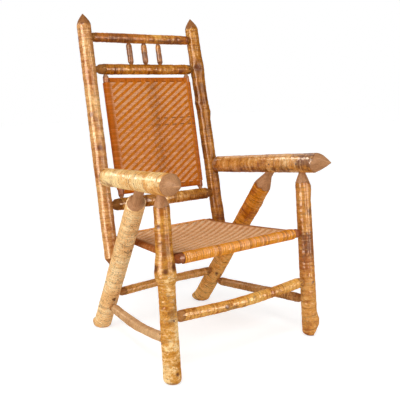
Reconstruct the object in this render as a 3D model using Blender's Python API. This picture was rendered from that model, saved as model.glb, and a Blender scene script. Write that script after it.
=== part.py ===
"""Rustic armchair of bark-on birch logs with round tenons, nailed joints and two woven panels."""

import math

import bmesh
import bpy
from mathutils import Matrix, Vector

# Driving sizes in metres. The chair faces -Y and stands on z = 0.
# Right and left are the sitter's, so right is -X. A spread runs from one side's axis to the other's.
OVERALL_HEIGHT = 1.191
FRONT_FOOT_SPREAD = 0.649
FRONT_FOOT_Y = -0.3021
REAR_FOOT_SPREAD = 0.494
REAR_FOOT_Y = 0.2759
ARM_TIP_SPREAD = 0.672
ARM_TIP_Y = -0.3621
ARM_TIP_HEIGHT = 0.659
ARM_TIP_TILT = 0.011
ARM_REAR_SPREAD = 0.522
LEFT_ARM_REAR_INSET = 0.0022
ARM_REAR_Y = 0.2199
ARM_REAR_HEIGHT = 0.601
FRONT_LEG_SETBACK = 0.128
REAR_LEG_SETBACK = 0.254
POST_FOOT_HEIGHT = 0.222

# Heights of the cross pieces where their axes meet the legs and posts.
# The crest rail hangs below the post tips and the middle rail below the crest.
CREST_BELOW_TOP = 0.085
CREST_TILT = 0.004
MIDDLE_RAIL_BELOW_CREST = 0.117
MIDDLE_RAIL_TILT = 0.004
LOWER_RAIL_HEIGHT = 0.490
LOWER_RAIL_TILT = 0.007
SEAT_FRONT_HEIGHT = 0.396
SEAT_REAR_HEIGHT = 0.370
FRONT_STRETCHER_HEIGHT = 0.209
REAR_STRETCHER_HEIGHT = 0.156
SIDE_STRETCHER_FRONT_HEIGHT = 0.135
SIDE_STRETCHER_REAR_HEIGHT = 0.104

# Radii of the logs.
ARM_FRONT_RADIUS = 0.0365
ARM_REAR_RADIUS = 0.033
FRONT_LEG_FOOT_RADIUS = 0.030
FRONT_LEG_TOP_RADIUS = 0.0272
REAR_LEG_RADIUS = 0.0335
POST_RADIUS = 0.0265
CREST_RADIUS = 0.0183
MIDDLE_RAIL_RADIUS = 0.020
LOWER_RAIL_RADIUS = 0.0235
SPINDLE_RADIUS = 0.0115
SEAT_FRONT_RADIUS = 0.0168
SEAT_REAR_RADIUS = 0.0135
SEAT_ROD_RADIUS = 0.007
BACK_ROD_RADIUS = 0.0115
BACK_BAR_RADIUS = 0.006
FRONT_STRETCHER_RADIUS = 0.0195
SIDE_STRETCHER_RADIUS = 0.0175
REAR_STRETCHER_RADIUS = 0.0165

# Worked ends: the length of each taper, and how round tenons are made.
ARM_POINT = 0.056
POST_POINT = 0.040
ARM_TAPER = 0.028
FRONT_LEG_TAPER = 0.036
REAR_LEG_TAPER = 0.050
POST_TAPER = 0.020
CREST_TAPER = 0.014
BACK_RAIL_TAPER = 0.030
SEAT_RAIL_TAPER = 0.018
STRETCHER_TAPER = 0.024
ROD_TAPER = 0.008
LOG_TENON_SHARE = 0.48
RAIL_TENON_SHARE = 0.58
TENON_PAST_AXIS = 0.30
SHOULDER_GAP = 0.001
FIT_CLEARANCE = 0.0003
BORE_END_GAP = 0.001
FOOT_ROUND = 0.005

# Nails, one through each nailed tenon.
NAIL_RADIUS = 0.0014
NAIL_HEAD_RADIUS = 0.003
NAIL_HEAD_THICKNESS = 0.0012
NAIL_PAST_TENON = 0.005

# Woven back and seat.
SPINDLE_PITCH = 0.068
BACK_PANEL_WIDTH = 0.409
BACK_PANEL_GAP = 0.011
SEAT_FRONT_WIDTH = 0.560
SEAT_REAR_WIDTH = 0.424
WEAVE_THICKNESS = 0.003
BACK_FIELD_HALF = 0.0068
SEAT_FIELD_HALF = 0.009
FIELD_REACH = 0.040
SEAT_EDGE_SAG = 0.001
SEAT_MIDDLE_SAG = 0.010

# How far natural logs bow, and how much their knots stand out.
FRONT_STRETCHER_SAG = 0.011
REAR_STRETCHER_RISE = 0.004
RIGHT_STRETCHER_SAG = 0.012
KNOT_RISE = 0.006
KNOT_WIDTH = 0.030

LOG_SIDES = 16
RAIL_SIDES = 12
ROD_SIDES = 10
NAIL_SIDES = 8
WRAP_STEPS = 6
BOW_STEPS = 6
SHARP_ANGLE = math.radians(38)

RIGHT = -1
LEFT = 1
SIDE_NAMES = {RIGHT: "right", LEFT: "left"}
FORWARD = Vector((0, -1, 0))
BACKWARD = Vector((0, 1, 0))
DOWNWARD = Vector((0, 0, -1))


def material(name, colour, roughness, metallic=0.0):
    """A plain Principled material."""
    made = bpy.data.materials.new(name)
    made.use_nodes = True
    shader = made.node_tree.nodes["Principled BSDF"]
    shader.inputs["Base Color"].default_value = (*colour, 1.0)
    shader.inputs["Roughness"].default_value = roughness
    shader.inputs["Metallic"].default_value = metallic
    return made


def add_object(mesh, name, look):
    """Puts a finished bmesh into the scene as one object with one material."""
    bmesh.ops.recalc_face_normals(mesh, faces=mesh.faces)
    data = bpy.data.meshes.new(name)
    mesh.to_mesh(data)
    mesh.free()
    data.shade_smooth()
    data.set_sharp_from_angle(angle=SHARP_ANGLE)
    if look:
        data.materials.append(look)
    made = bpy.data.objects.new(name, data)
    bpy.context.scene.collection.objects.link(made)
    return made


def loft(rings, direction, sides):
    """A closed round body through (centre, radius) rings that all face along one direction."""
    turn = direction.to_track_quat("Z", "Y").to_matrix().to_4x4()
    mesh = bmesh.new()
    loops = []
    for centre, radius in rings:
        place = Matrix.Translation(centre) @ turn
        capped = len(loops) in (0, len(rings) - 1)
        circle = bmesh.ops.create_circle(mesh, segments=sides, radius=radius, matrix=place, cap_ends=capped)
        loops.append(circle["verts"])
    for lower, upper in zip(loops, loops[1:]):
        for index in range(sides):
            after = (index + 1) % sides
            mesh.faces.new((lower[index], lower[after], upper[after], upper[index]))
    return mesh, loops


def cutter(name, rings, direction, sides):
    """A hidden round body that only serves to bore other pieces."""
    mesh, _ = loft(rings, direction, sides)
    tool = add_object(mesh, name, None)
    tool.hide_render = True
    tool.display_type = "WIRE"
    return tool


def bore(piece, tool):
    """Takes a cutter out of a piece."""
    cut = piece.modifiers.new(tool.name, "BOOLEAN")
    cut.operation = "DIFFERENCE"
    cut.solver = "EXACT"
    cut.object = tool


def clearing_distance(receiver_radius, own_radius, cosine):
    """How far along its own axis a round piece clears the log that it runs into."""
    sine = math.sqrt(1 - cosine * cosine)
    return (receiver_radius + own_radius * cosine) / sine


class Log:
    """A round log from start to end, with a radius at each end and a worked shape there."""

    def __init__(self, name, start, end, start_radius, end_radius, sides, look, bow=Vector()):
        self.name = name
        self.start = start
        self.end = end
        self.start_radius = start_radius
        self.end_radius = end_radius
        self.sides = sides
        self.look = look
        self.bow = bow
        self.length = (end - start).length
        self.direction = (end - start).normalized()
        self.start_shape = []
        self.end_shape = []
        self.stands = False
        self.knots = []
        self.tools = []

    def centre(self, share):
        """The point on the straight axis at a share of the length."""
        return self.start.lerp(self.end, share)

    def radius(self, share):
        """The radius at a share of the length."""
        return self.start_radius + (self.end_radius - self.start_radius) * share

    def at_height(self, height):
        """The point on the axis at a height."""
        return self.centre((height - self.start.z) / (self.end.z - self.start.z))

    def at_width(self, x):
        """The point on the axis at a sideways place."""
        return self.centre((x - self.start.x) / (self.end.x - self.start.x))

    def share_of(self, point):
        """The share of the length that lies nearest a point."""
        return (point - self.start).dot(self.direction) / self.length

    def stand(self):
        """Cuts the start flat on the floor with a rounded edge."""
        self.stands = True
        self.start_shape = [(0.0, self.start_radius - FOOT_ROUND), (FOOT_ROUND, self.start_radius)]

    def sharpen(self, length):
        """Works the end to a blunt point with bulging sides."""
        radius = self.end_radius
        self.end_shape = [
            (0.0, 0.04 * radius),
            (0.30 * length, 0.42 * radius),
            (0.65 * length, 0.78 * radius),
            (length, radius),
        ]

    def knot(self, share, toward, rise=KNOT_RISE):
        """Raises a knot on the side that faces one way, or a swelling all round."""
        self.knots.append((share, toward, rise))

    def bark_radius(self, point):
        """How far the bark stands out beside a point on the axis, with the knots near it."""
        share = self.share_of(point)
        away = [(share - place) * self.length / KNOT_WIDTH for place, _, _ in self.knots]
        rises = [rise * math.exp(-(step**2) * 2.5) for step, (_, _, rise) in zip(away, self.knots)]
        return self.radius(share) + sum(rises)

    def rings(self):
        """The (centre, radius) rings from start to end."""
        first = self.start_shape[-1][0] / self.length
        last = 1 - self.end_shape[-1][0] / self.length
        made = [(self.centre(distance / self.length), radius) for distance, radius in self.start_shape]
        shares = set()
        if self.bow.length:
            shares.update(first + (last - first) * step / BOW_STEPS for step in range(1, BOW_STEPS))
        for share, _, _ in self.knots:
            shares.update(share + KNOT_WIDTH / self.length * step / 2 for step in range(-3, 4))
        for share in sorted(shares):
            if first < share < last:
                lift = self.bow * math.sin(math.pi * (share - first) / (last - first))
                made.append((self.centre(share) + lift, self.radius(share)))
        for distance, radius in reversed(self.end_shape):
            made.append((self.centre(1 - distance / self.length), radius))
        return made

    def raise_knots(self, mesh):
        """Pushes the bark out round each knot."""
        for share, toward, rise in self.knots:
            centre = self.centre(share)
            if toward:
                aside = toward - self.direction * toward.dot(self.direction)
                centre = centre + aside.normalized() * self.radius(share)
            for vertex in mesh.verts:
                along = (vertex.co - self.start).dot(self.direction)
                outward = vertex.co - self.start - self.direction * along
                apart = (vertex.co - centre).length
                if not toward:
                    apart = along - share * self.length
                vertex.co += outward.normalized() * rise * math.exp(-((apart / KNOT_WIDTH) ** 2) * 2.5)

    def build(self):
        """Makes the log and bores it."""
        mesh, loops = loft(self.rings(), self.direction, self.sides)
        if self.stands:
            for loop, height in zip(loops, (0.0, FOOT_ROUND)):
                for vertex in loop:
                    vertex.co -= self.direction * ((vertex.co.z - height) / self.direction.z)
        self.raise_knots(mesh)
        made = add_object(mesh, self.name, self.look)
        for tool in self.tools:
            bore(made, tool)
        return made


class Chair:
    """The pieces of the chair, with what they share."""

    def __init__(self):
        self.bark = material("birch_bark", (0.56, 0.30, 0.09), 0.35)
        self.rail_bark = material("rail_bark", (0.45, 0.20, 0.06), 0.38)
        self.rod_wood = material("rod_wood", (0.50, 0.24, 0.09), 0.45)
        self.cane = material("woven_cane", (0.52, 0.22, 0.07), 0.50)
        self.iron = material("nail_iron", (0.06, 0.05, 0.05), 0.45, 1.0)
        self.logs = []

    def log(self, *values, **options):
        """Adds a log."""
        made = Log(*values, **options)
        self.logs.append(made)
        return made

    def join(self, piece, at_start, receiver, taper, nail_side=None, tenon_share=RAIL_TENON_SHARE):
        """Works a tenon on one end of a piece, bores its mortise and drives a nail through both."""
        joint = piece.start if at_start else piece.end
        inward = piece.direction if at_start else -piece.direction
        cosine = abs(inward.dot(receiver.direction))
        receiver_radius = receiver.bark_radius(joint)
        full = piece.start_radius if at_start else piece.end_radius
        tenon = full * tenon_share
        past = receiver_radius * TENON_PAST_AXIS
        neck = clearing_distance(receiver_radius, tenon, cosine) + SHOULDER_GAP
        shoulder = max(neck + taper, clearing_distance(receiver_radius, full, cosine) + SHOULDER_GAP)
        shape = [(-past, tenon), (neck, tenon), (shoulder, full)]
        if at_start:
            piece.start_shape = shape
        else:
            piece.end_shape = shape
        label = f"{piece.name}_{'start' if at_start else 'end'}"
        reach = clearing_distance(receiver_radius, tenon + FIT_CLEARANCE, cosine) + 4 * SHOULDER_GAP
        mortise = [
            (joint - inward * (past + BORE_END_GAP), tenon + FIT_CLEARANCE),
            (joint + inward * reach, tenon + FIT_CLEARANCE),
        ]
        receiver.tools.append(cutter(f"mortise_{label}", mortise, inward, piece.sides))
        if nail_side:
            self.nail(label, piece, receiver, joint, inward, receiver_radius, tenon, nail_side)

    def nail(self, label, piece, receiver, joint, inward, receiver_radius, tenon, nail_side):
        """Drives a nail across a tenon, through the middle of the log that holds it."""
        outward = inward.cross(receiver.direction).normalized()
        if outward.dot(nail_side) < 0:
            outward.negate()
        under_head = joint + outward * (receiver_radius + FIT_CLEARANCE)
        head_top = under_head + outward * NAIL_HEAD_THICKNESS
        tip = joint - outward * (tenon + NAIL_PAST_TENON)
        rings = [
            (tip, NAIL_RADIUS),
            (under_head, NAIL_RADIUS),
            (under_head, NAIL_HEAD_RADIUS),
            (head_top, NAIL_HEAD_RADIUS),
        ]
        mesh, _ = loft(rings, outward, NAIL_SIDES)
        add_object(mesh, f"nail_{label}", self.iron)
        hole = [
            (tip - outward * BORE_END_GAP, NAIL_RADIUS + FIT_CLEARANCE),
            (head_top, NAIL_RADIUS + FIT_CLEARANCE),
        ]
        tool = cutter(f"nail_hole_{label}", hole, outward, NAIL_SIDES)
        receiver.tools.append(tool)
        piece.tools.append(tool)


def side_point(sign, spread, y, height):
    """A point on one side of the chair."""
    return Vector((sign * spread / 2, y, height))


def add_knots(sign, front_leg, rear_leg, post):
    """The knots that change a log's outline on one side of the chair."""
    if sign == RIGHT:
        front_leg.knot(0.54, None)
        post.knot(0.60, Vector((-1, -0.6, 0)), KNOT_RISE / 2)
        post.knot(0.47, Vector((-0.2, -1, 0)), KNOT_RISE / 2)
        return
    front_leg.knot(0.09, Vector((1, -0.3, 0)))
    front_leg.knot(0.83, Vector((1, -0.6, 0)), KNOT_RISE / 2)
    rear_leg.knot(0.70, Vector((0.3, -1, 0.5)), KNOT_RISE / 2)
    post.knot(0.73, Vector((-1, -0.2, 0)), KNOT_RISE * 0.7)
    post.knot(0.61, Vector((1, -0.5, 0)))


def add_side_frame(chair, sign):
    """One arm with its two legs and its back post."""
    side = SIDE_NAMES[sign]
    outer = Vector((sign, 0, 0))
    rear = side_point(sign, ARM_REAR_SPREAD, ARM_REAR_Y, ARM_REAR_HEIGHT)
    if sign == LEFT:
        rear.x -= LEFT_ARM_REAR_INSET
    tip = side_point(sign, ARM_TIP_SPREAD, ARM_TIP_Y, ARM_TIP_HEIGHT + sign * ARM_TIP_TILT / 2)
    arm = chair.log(f"arm_{side}", rear, tip, ARM_REAR_RADIUS, ARM_FRONT_RADIUS, LOG_SIDES, chair.bark)
    front_leg = chair.log(
        f"front_leg_{side}",
        side_point(sign, FRONT_FOOT_SPREAD, FRONT_FOOT_Y, 0.0),
        arm.centre(1 - FRONT_LEG_SETBACK / arm.length),
        FRONT_LEG_FOOT_RADIUS,
        FRONT_LEG_TOP_RADIUS,
        LOG_SIDES,
        chair.bark,
    )
    rear_leg = chair.log(
        f"rear_leg_{side}",
        side_point(sign, REAR_FOOT_SPREAD, REAR_FOOT_Y, 0.0),
        arm.centre(1 - REAR_LEG_SETBACK / arm.length),
        REAR_LEG_RADIUS,
        REAR_LEG_RADIUS,
        LOG_SIDES,
        chair.bark,
    )
    post_foot = rear_leg.at_height(POST_FOOT_HEIGHT)
    lean = (arm.start - post_foot) / (arm.start.z - post_foot.z)
    post_top = post_foot + lean * (OVERALL_HEIGHT - post_foot.z)
    post = chair.log(f"back_post_{side}", post_foot, post_top, POST_RADIUS, POST_RADIUS, LOG_SIDES, chair.bark)
    add_knots(sign, front_leg, rear_leg, post)
    front_leg.stand()
    rear_leg.stand()
    arm.sharpen(ARM_POINT)
    post.sharpen(POST_POINT)
    chair.join(front_leg, False, arm, FRONT_LEG_TAPER, -outer, LOG_TENON_SHARE)
    chair.join(rear_leg, False, arm, REAR_LEG_TAPER, -outer, LOG_TENON_SHARE)
    chair.join(arm, True, post, ARM_TAPER, -outer, LOG_TENON_SHARE)
    chair.join(post, True, rear_leg, POST_TAPER, outer, LOG_TENON_SHARE)
    return arm, front_leg, rear_leg, post


def add_rail(chair, name, start, end, radius, receivers, taper, nail_side, look, bow=Vector()):
    """A round rail nailed between two logs."""
    rail = chair.log(name, start, end, radius, radius, RAIL_SIDES, look, bow=bow)
    chair.join(rail, True, receivers[0], taper, nail_side)
    chair.join(rail, False, receivers[1], taper, nail_side)
    return rail


def add_rod(chair, name, start, end, radius, receivers, bow=Vector()):
    """A peeled rod held by its tenons alone."""
    rod = chair.log(name, start, end, radius, radius, ROD_SIDES, chair.rod_wood, bow=bow)
    chair.join(rod, True, receivers[0], ROD_TAPER)
    chair.join(rod, False, receivers[1], ROD_TAPER)
    return rod


def wrap_half(radius):
    """Half the inside of a woven wrap that clears a round piece on flat facets."""
    return (radius + FIT_CLEARANCE) / math.cos(math.pi / WRAP_STEPS / 2)


class Sleeve:
    """A woven double layer that wraps a frame of two side rods and two end pieces."""

    def __init__(self, corners, side_radius, start_radius, end_radius, field_half, edge_sag, middle_sag):
        self.corners = corners
        self.side_half = wrap_half(side_radius + edge_sag / 4)
        self.start_half = wrap_half(start_radius)
        self.end_half = wrap_half(end_radius)
        self.field_half = field_half
        self.edge_sag = edge_sag
        self.middle_sag = middle_sag
        right_start, left_start, right_end, left_end = corners
        self.across = (left_start - right_start).normalized()
        middle_start = right_start.lerp(left_start, 0.5)
        middle_end = right_end.lerp(left_end, 0.5)
        self.along = (middle_end - middle_start).normalized()
        self.normal = self.across.cross(self.along)
        self.length = (middle_end - middle_start).length
        self.half_width = min((left_start - right_start).length, (left_end - right_end).length) / 2
        corner = WEAVE_THICKNESS + 2 * SHOULDER_GAP
        side_notch = (side_radius + corner) / self.half_width
        reach = FIELD_REACH / self.half_width
        inner = [1 - side_notch, 1 - reach, 0.5]
        self.columns = [-1.0] + [-place for place in inner] + [0.0] + inner[::-1] + [1.0]
        start_notch = (start_radius + corner) / self.length
        end_notch = (end_radius + corner) / self.length
        reach = FIELD_REACH / self.length
        self.rows = [0.0, start_notch, reach, 0.25, 0.5, 0.75, 1 - reach, 1 - end_notch, 1.0]

    def half(self, u, v):
        """Half the inside thickness: full at the wrapped edges, thin in the field."""
        edges = (
            (self.side_half, (1 - abs(u)) * self.half_width),
            (self.start_half, v * self.length),
            (self.end_half, (1 - v) * self.length),
        )
        swell = [(edge - self.field_half) * max(0.0, 1 - away / FIELD_REACH) for edge, away in edges]
        return self.field_half + max(swell)

    def point(self, u, v, height, outward=0.0, onward=0.0):
        """A point over the frame: u across, v along, and a height above its middle plane."""
        right_start, left_start, right_end, left_end = self.corners
        start = right_start.lerp(left_start, (u + 1) / 2)
        end = right_end.lerp(left_end, (u + 1) / 2)
        sag = math.sin(math.pi * v) * (self.edge_sag + self.middle_sag * (1 - u * u))
        lift = self.normal * (height - sag)
        return start.lerp(end, v) + lift + self.across * outward + self.along * onward

    def loop(self, u, is_side):
        """One strand's way round the frame, from start to end on top and back below."""
        rows = self.rows[1:-1] if is_side else self.rows
        path = [self.point(u, v, self.half(u, v)) for v in rows]
        below = [self.point(u, v, -self.half(u, v)) for v in reversed(rows)]
        if is_side:
            return path + below
        angles = [math.pi * step / WRAP_STEPS for step in range(1, WRAP_STEPS)]
        half = self.half(u, 1.0)
        path += [self.point(u, 1.0, half * math.cos(a), onward=self.end_half * math.sin(a)) for a in angles]
        half = self.half(u, 0.0)
        below += [self.point(u, 0.0, -half * math.cos(a), onward=-self.start_half * math.sin(a)) for a in angles]
        return path + below

    def side_wraps(self, u):
        """The strands' way round a side rod, one list of points for each row."""
        angles = [math.pi * step / WRAP_STEPS for step in range(1, WRAP_STEPS)]
        made = []
        for v in self.rows[1:-1]:
            half = self.half(u, v)
            made.append(
                [self.point(u, v, half * math.cos(a), outward=u * self.side_half * math.sin(a)) for a in angles]
            )
        return made

    def build(self, name, look):
        """Makes the woven sleeve as one solid sheet with open corners."""
        mesh = bmesh.new()
        loops = []
        for u in self.columns:
            loops.append([mesh.verts.new(place) for place in self.loop(u, abs(u) == 1.0)])
        count = len(loops[1])
        for near, far in zip(loops[1:-1], loops[2:-1]):
            for index in range(count):
                after = (index + 1) % count
                mesh.faces.new((near[index], near[after], far[after], far[index]))
        held = len(self.rows) - 2
        below = len(self.rows) + WRAP_STEPS
        for edge, field, u in ((loops[0], loops[1], -1.0), (loops[-1], loops[-2], 1.0)):
            wraps = [[mesh.verts.new(place) for place in row] for row in self.side_wraps(u)]
            strips = []
            for row in range(held):
                top_edge = edge[row]
                bottom_edge = edge[2 * held - 1 - row]
                bottom_field = field[below + held - 1 - row]
                strips.append([field[row + 1], top_edge, *wraps[row], bottom_edge, bottom_field])
            for first, second in zip(strips, strips[1:]):
                for index in range(len(first) - 1):
                    mesh.faces.new((first[index], first[index + 1], second[index + 1], second[index]))
        made = add_object(mesh, name, look)
        sheet = made.modifiers.new("woven thickness", "SOLIDIFY")
        sheet.thickness = WEAVE_THICKNESS
        sheet.offset = 1.0
        return made


def add_back(chair, posts):
    """The rails, spindles and woven panel between the back posts."""
    right_post, left_post = posts
    rails = {}
    crest_height = OVERALL_HEIGHT - CREST_BELOW_TOP
    middle_height = crest_height - MIDDLE_RAIL_BELOW_CREST
    sizes = (
        ("crest_rail", crest_height, CREST_TILT, CREST_RADIUS, CREST_TAPER),
        ("middle_back_rail", middle_height, MIDDLE_RAIL_TILT, MIDDLE_RAIL_RADIUS, BACK_RAIL_TAPER),
        ("lower_back_rail", LOWER_RAIL_HEIGHT, LOWER_RAIL_TILT, LOWER_RAIL_RADIUS, BACK_RAIL_TAPER),
    )
    for name, height, tilt, radius, taper in sizes:
        start = right_post.at_height(height + tilt / 2)
        end = left_post.at_height(height - tilt / 2)
        rails[name] = add_rail(chair, name, start, end, radius, posts, taper, BACKWARD, chair.rail_bark)
    middle = rails["middle_back_rail"]
    lower = rails["lower_back_rail"]
    crest = rails["crest_rail"]
    for sign, place in ((RIGHT, "right"), (0, "centre"), (LEFT, "left")):
        x = sign * SPINDLE_PITCH
        add_rod(
            chair, f"spindle_{place}", middle.at_width(x), crest.at_width(x), SPINDLE_RADIUS, (middle, crest)
        )
    rod_x = BACK_PANEL_WIDTH / 2 - WEAVE_THICKNESS - wrap_half(BACK_ROD_RADIUS)
    rods = []
    for sign in (RIGHT, LEFT):
        x = sign * rod_x
        name = f"back_rod_{SIDE_NAMES[sign]}"
        rods.append(
            add_rod(chair, name, lower.at_width(x), middle.at_width(x), BACK_ROD_RADIUS, (lower, middle))
        )
    edge = BACK_PANEL_GAP + WEAVE_THICKNESS + wrap_half(BACK_BAR_RADIUS)
    shares = (
        (LOWER_RAIL_RADIUS + edge) / rods[0].length,
        1 - (MIDDLE_RAIL_RADIUS + edge) / rods[0].length,
    )
    corners = []
    for name, share in zip(("back_bar_bottom", "back_bar_top"), shares):
        start = rods[0].centre(share)
        end = rods[1].centre(share)
        corners += [start, end]
        add_rod(chair, name, start, end, BACK_BAR_RADIUS, rods)
    panel = Sleeve(corners, BACK_ROD_RADIUS, BACK_BAR_RADIUS, BACK_BAR_RADIUS, BACK_FIELD_HALF, 0.0, 0.0)
    panel.build("back_weave", chair.cane)


def add_seat(chair, front_legs, posts):
    """The four seat pieces and the weave round them."""
    front = add_rail(
        chair,
        "seat_front_rail",
        front_legs[0].at_height(SEAT_FRONT_HEIGHT),
        front_legs[1].at_height(SEAT_FRONT_HEIGHT),
        SEAT_FRONT_RADIUS,
        front_legs,
        SEAT_RAIL_TAPER,
        FORWARD,
        chair.rail_bark,
    )
    rear = add_rail(
        chair,
        "seat_rear_rail",
        posts[0].at_height(SEAT_REAR_HEIGHT),
        posts[1].at_height(SEAT_REAR_HEIGHT),
        SEAT_REAR_RADIUS,
        posts,
        SEAT_RAIL_TAPER,
        BACKWARD,
        chair.rail_bark,
    )
    inset = WEAVE_THICKNESS + wrap_half(SEAT_ROD_RADIUS)
    corners = {}
    for sign in (RIGHT, LEFT):
        start = front.at_width(sign * (SEAT_FRONT_WIDTH / 2 - inset))
        end = rear.at_width(sign * (SEAT_REAR_WIDTH / 2 - inset))
        name = f"seat_rod_{SIDE_NAMES[sign]}"
        add_rod(chair, name, start, end, SEAT_ROD_RADIUS, (front, rear), DOWNWARD * SEAT_EDGE_SAG)
        corners[sign] = (start, end)
    order = [corners[RIGHT][0], corners[LEFT][0], corners[RIGHT][1], corners[LEFT][1]]
    seat = Sleeve(
        order,
        SEAT_ROD_RADIUS,
        SEAT_FRONT_RADIUS,
        SEAT_REAR_RADIUS,
        SEAT_FIELD_HALF,
        SEAT_EDGE_SAG,
        SEAT_MIDDLE_SAG,
    )
    seat.build("seat_weave", chair.cane)


def add_stretchers(chair, front_legs, rear_legs):
    """The four stretchers near the floor."""
    spans = (
        ("front_stretcher", front_legs, FRONT_STRETCHER_HEIGHT, FRONT_STRETCHER_RADIUS, -FRONT_STRETCHER_SAG),
        ("rear_stretcher", rear_legs, REAR_STRETCHER_HEIGHT, REAR_STRETCHER_RADIUS, REAR_STRETCHER_RISE),
    )
    for name, legs, height, radius, rise in spans:
        start = legs[0].at_height(height)
        end = legs[1].at_height(height)
        bow = Vector((0, 0, rise))
        add_rail(chair, name, start, end, radius, legs, STRETCHER_TAPER, FORWARD, chair.rail_bark, bow)
    for sign, front_leg, rear_leg in zip((RIGHT, LEFT), front_legs, rear_legs):
        start = front_leg.at_height(SIDE_STRETCHER_FRONT_HEIGHT)
        end = rear_leg.at_height(SIDE_STRETCHER_REAR_HEIGHT)
        bow = DOWNWARD * RIGHT_STRETCHER_SAG if sign == RIGHT else Vector()
        name = f"side_stretcher_{SIDE_NAMES[sign]}"
        outer = Vector((sign, 0, 0))
        legs = (front_leg, rear_leg)
        add_rail(
            chair, name, start, end, SIDE_STRETCHER_RADIUS, legs, STRETCHER_TAPER, outer, chair.rail_bark, bow
        )


def main():
    """Builds the whole chair."""
    for old in list(bpy.data.objects):
        bpy.data.objects.remove(old)
    chair = Chair()
    frames = [add_side_frame(chair, sign) for sign in (RIGHT, LEFT)]
    front_legs = [frame[1] for frame in frames]
    rear_legs = [frame[2] for frame in frames]
    posts = [frame[3] for frame in frames]
    add_back(chair, posts)
    add_seat(chair, front_legs, posts)
    add_stretchers(chair, front_legs, rear_legs)
    for log in chair.logs:
        log.build()


main()
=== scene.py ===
"""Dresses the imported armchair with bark-on birch logs, whittled ends, woven cane panels and iron nails."""

import math

import bpy
import numpy as np
from bpy.props import FloatProperty, FloatVectorProperty, IntProperty, PointerProperty
from mathutils import Matrix, Vector
from mathutils.bvhtree import BVHTree


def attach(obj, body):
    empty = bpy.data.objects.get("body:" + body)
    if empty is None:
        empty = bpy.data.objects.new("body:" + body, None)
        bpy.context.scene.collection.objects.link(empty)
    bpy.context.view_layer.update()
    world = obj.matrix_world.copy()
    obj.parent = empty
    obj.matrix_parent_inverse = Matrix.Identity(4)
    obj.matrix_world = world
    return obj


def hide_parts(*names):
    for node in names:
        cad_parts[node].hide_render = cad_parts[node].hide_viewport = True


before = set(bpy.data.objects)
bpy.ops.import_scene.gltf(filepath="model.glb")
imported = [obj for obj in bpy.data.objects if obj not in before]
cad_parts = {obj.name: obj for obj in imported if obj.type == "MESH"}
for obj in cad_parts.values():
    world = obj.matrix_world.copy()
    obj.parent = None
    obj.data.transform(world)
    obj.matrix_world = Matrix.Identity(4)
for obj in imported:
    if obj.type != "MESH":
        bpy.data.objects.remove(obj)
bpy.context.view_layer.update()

bl_info = {
    "name": "Birch armchair dressing",
    "version": (1, 0, 0),
    "blender": (4, 5, 0),
    "location": "3D View > Sidebar > Birch chair",
    "description": "Dresses a packed log armchair with bark, whittled ends, woven cane and nails",
    "category": "Object",
}

UP = Vector((0, 0, 1))
FRONT = Vector((0, -1, 0))
ACROSS = Vector((1, 0, 0))
REAR = Vector((0, 1, 0))
CHAIR_MIDDLE = Vector((0, 0, 0.6))
WARM_SHINE = (1.0, 0.91, 0.76)
VARNISH_IOR = 4.0
VARNISH_SHARE = 0.4
SURFACE = [("Colour", "Color"), ("Roughness", "Float"), ("Height", "Float")]
BARK_COAT_BLUR = 0.2
CANE_COAT_BLUR = 0.13
BARE_COAT = 0.005

# Reading a log from its CAD mesh: rays round it, waves fitted to them, and what counts as a hole.
HARMONICS = 5
FEW_WAVES = 5
RAYS_ROUND = 32
RAY_REACH = 0.15
ENOUGH_RAYS = 26
FEWEST_RAYS = 18
END_MARGIN = 0.0006
FIT_SLACKS = (0.016, 0.012, 0.006)
LAST_SLACK = 0.004
HOLE_DEPTH = 0.0012

# Scales of the noise in the bark: slow waves, small lumps, ridges round the log, and knife marks.
SWELL_SCALE = (22, 22, 15)
LUMP_SCALE = (70, 70, 48)
RIDGE_SCALE = (9, 9, 150)
KNIFE_SCALE = (120, 120, 40)
KNIFE_DEPTH = 0.00018
LEAST_RADIUS = 0.0004

# A knot is a hump with a hollow in it, and its dark spot fades out round it.
KNOT_STRETCH = 0.85
KNOT_HUMP = 1.5
KNOT_HOLLOW = 0.55
KNOT_SINK = 0.75
KNOT_FADE = 0.9

# Whittled facets turn and sink by chance, and a foot is darker near the floor.
FACET_TURN = 0.25
FACET_SINK = 0.025
LEAST_COSINE = 0.25
SIDEWAYS = 0.02
FOOT_DARKENING = 0.9
FOOT_DARKENING_HEIGHT = 0.010

# The twill repeats after six strands, and the weft lies over three of them.
TWILL = 6
WEFT_OVER = 3
WRAP_CLEAR = 0.0003
WRAP_SWELL = 1.035
BARK_SWELL = 1.012
ROW_CLEAR = 0.002
BACK_SIDE_CLEAR = -0.003
SEAT_SIDE_CLEAR = 0.005
STRAND_JITTER = 0.05
CRACKED_ROWS = (0.645, 0.575)
CRACK_HALF = 0.006
CRACK_WEAR = 1.5

NAIL_SIDES = 14
NAIL_HEAD = 0.0012
NAIL_POINT = 0.003

FLOOR_HALF = 9
FLOOR_DROP = 0.0005
FLOOR_GLOW = 0.69
LAMP_GAP = 0.02
FRAME_WIDTH = 36


def srgb(red, green, blue):
    """A colour written as 0 to 255 screen values, in linear light."""
    shares = [value / 255 for value in (red, green, blue)]
    return [share / 12.92 if share <= 0.04045 else ((share + 0.055) / 1.055) ** 2.4 for share in shares]


def colour(name, description, values):
    """A colour property with its default in screen values."""
    return FloatVectorProperty(
        name=name, description=description, subtype="COLOR", size=3, min=0, max=1, default=srgb(*values)
    )


def length(name, description, default):
    """A length property in metres."""
    return FloatProperty(
        name=name, description=description, default=default, min=0, unit="LENGTH", precision=5
    )


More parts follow.
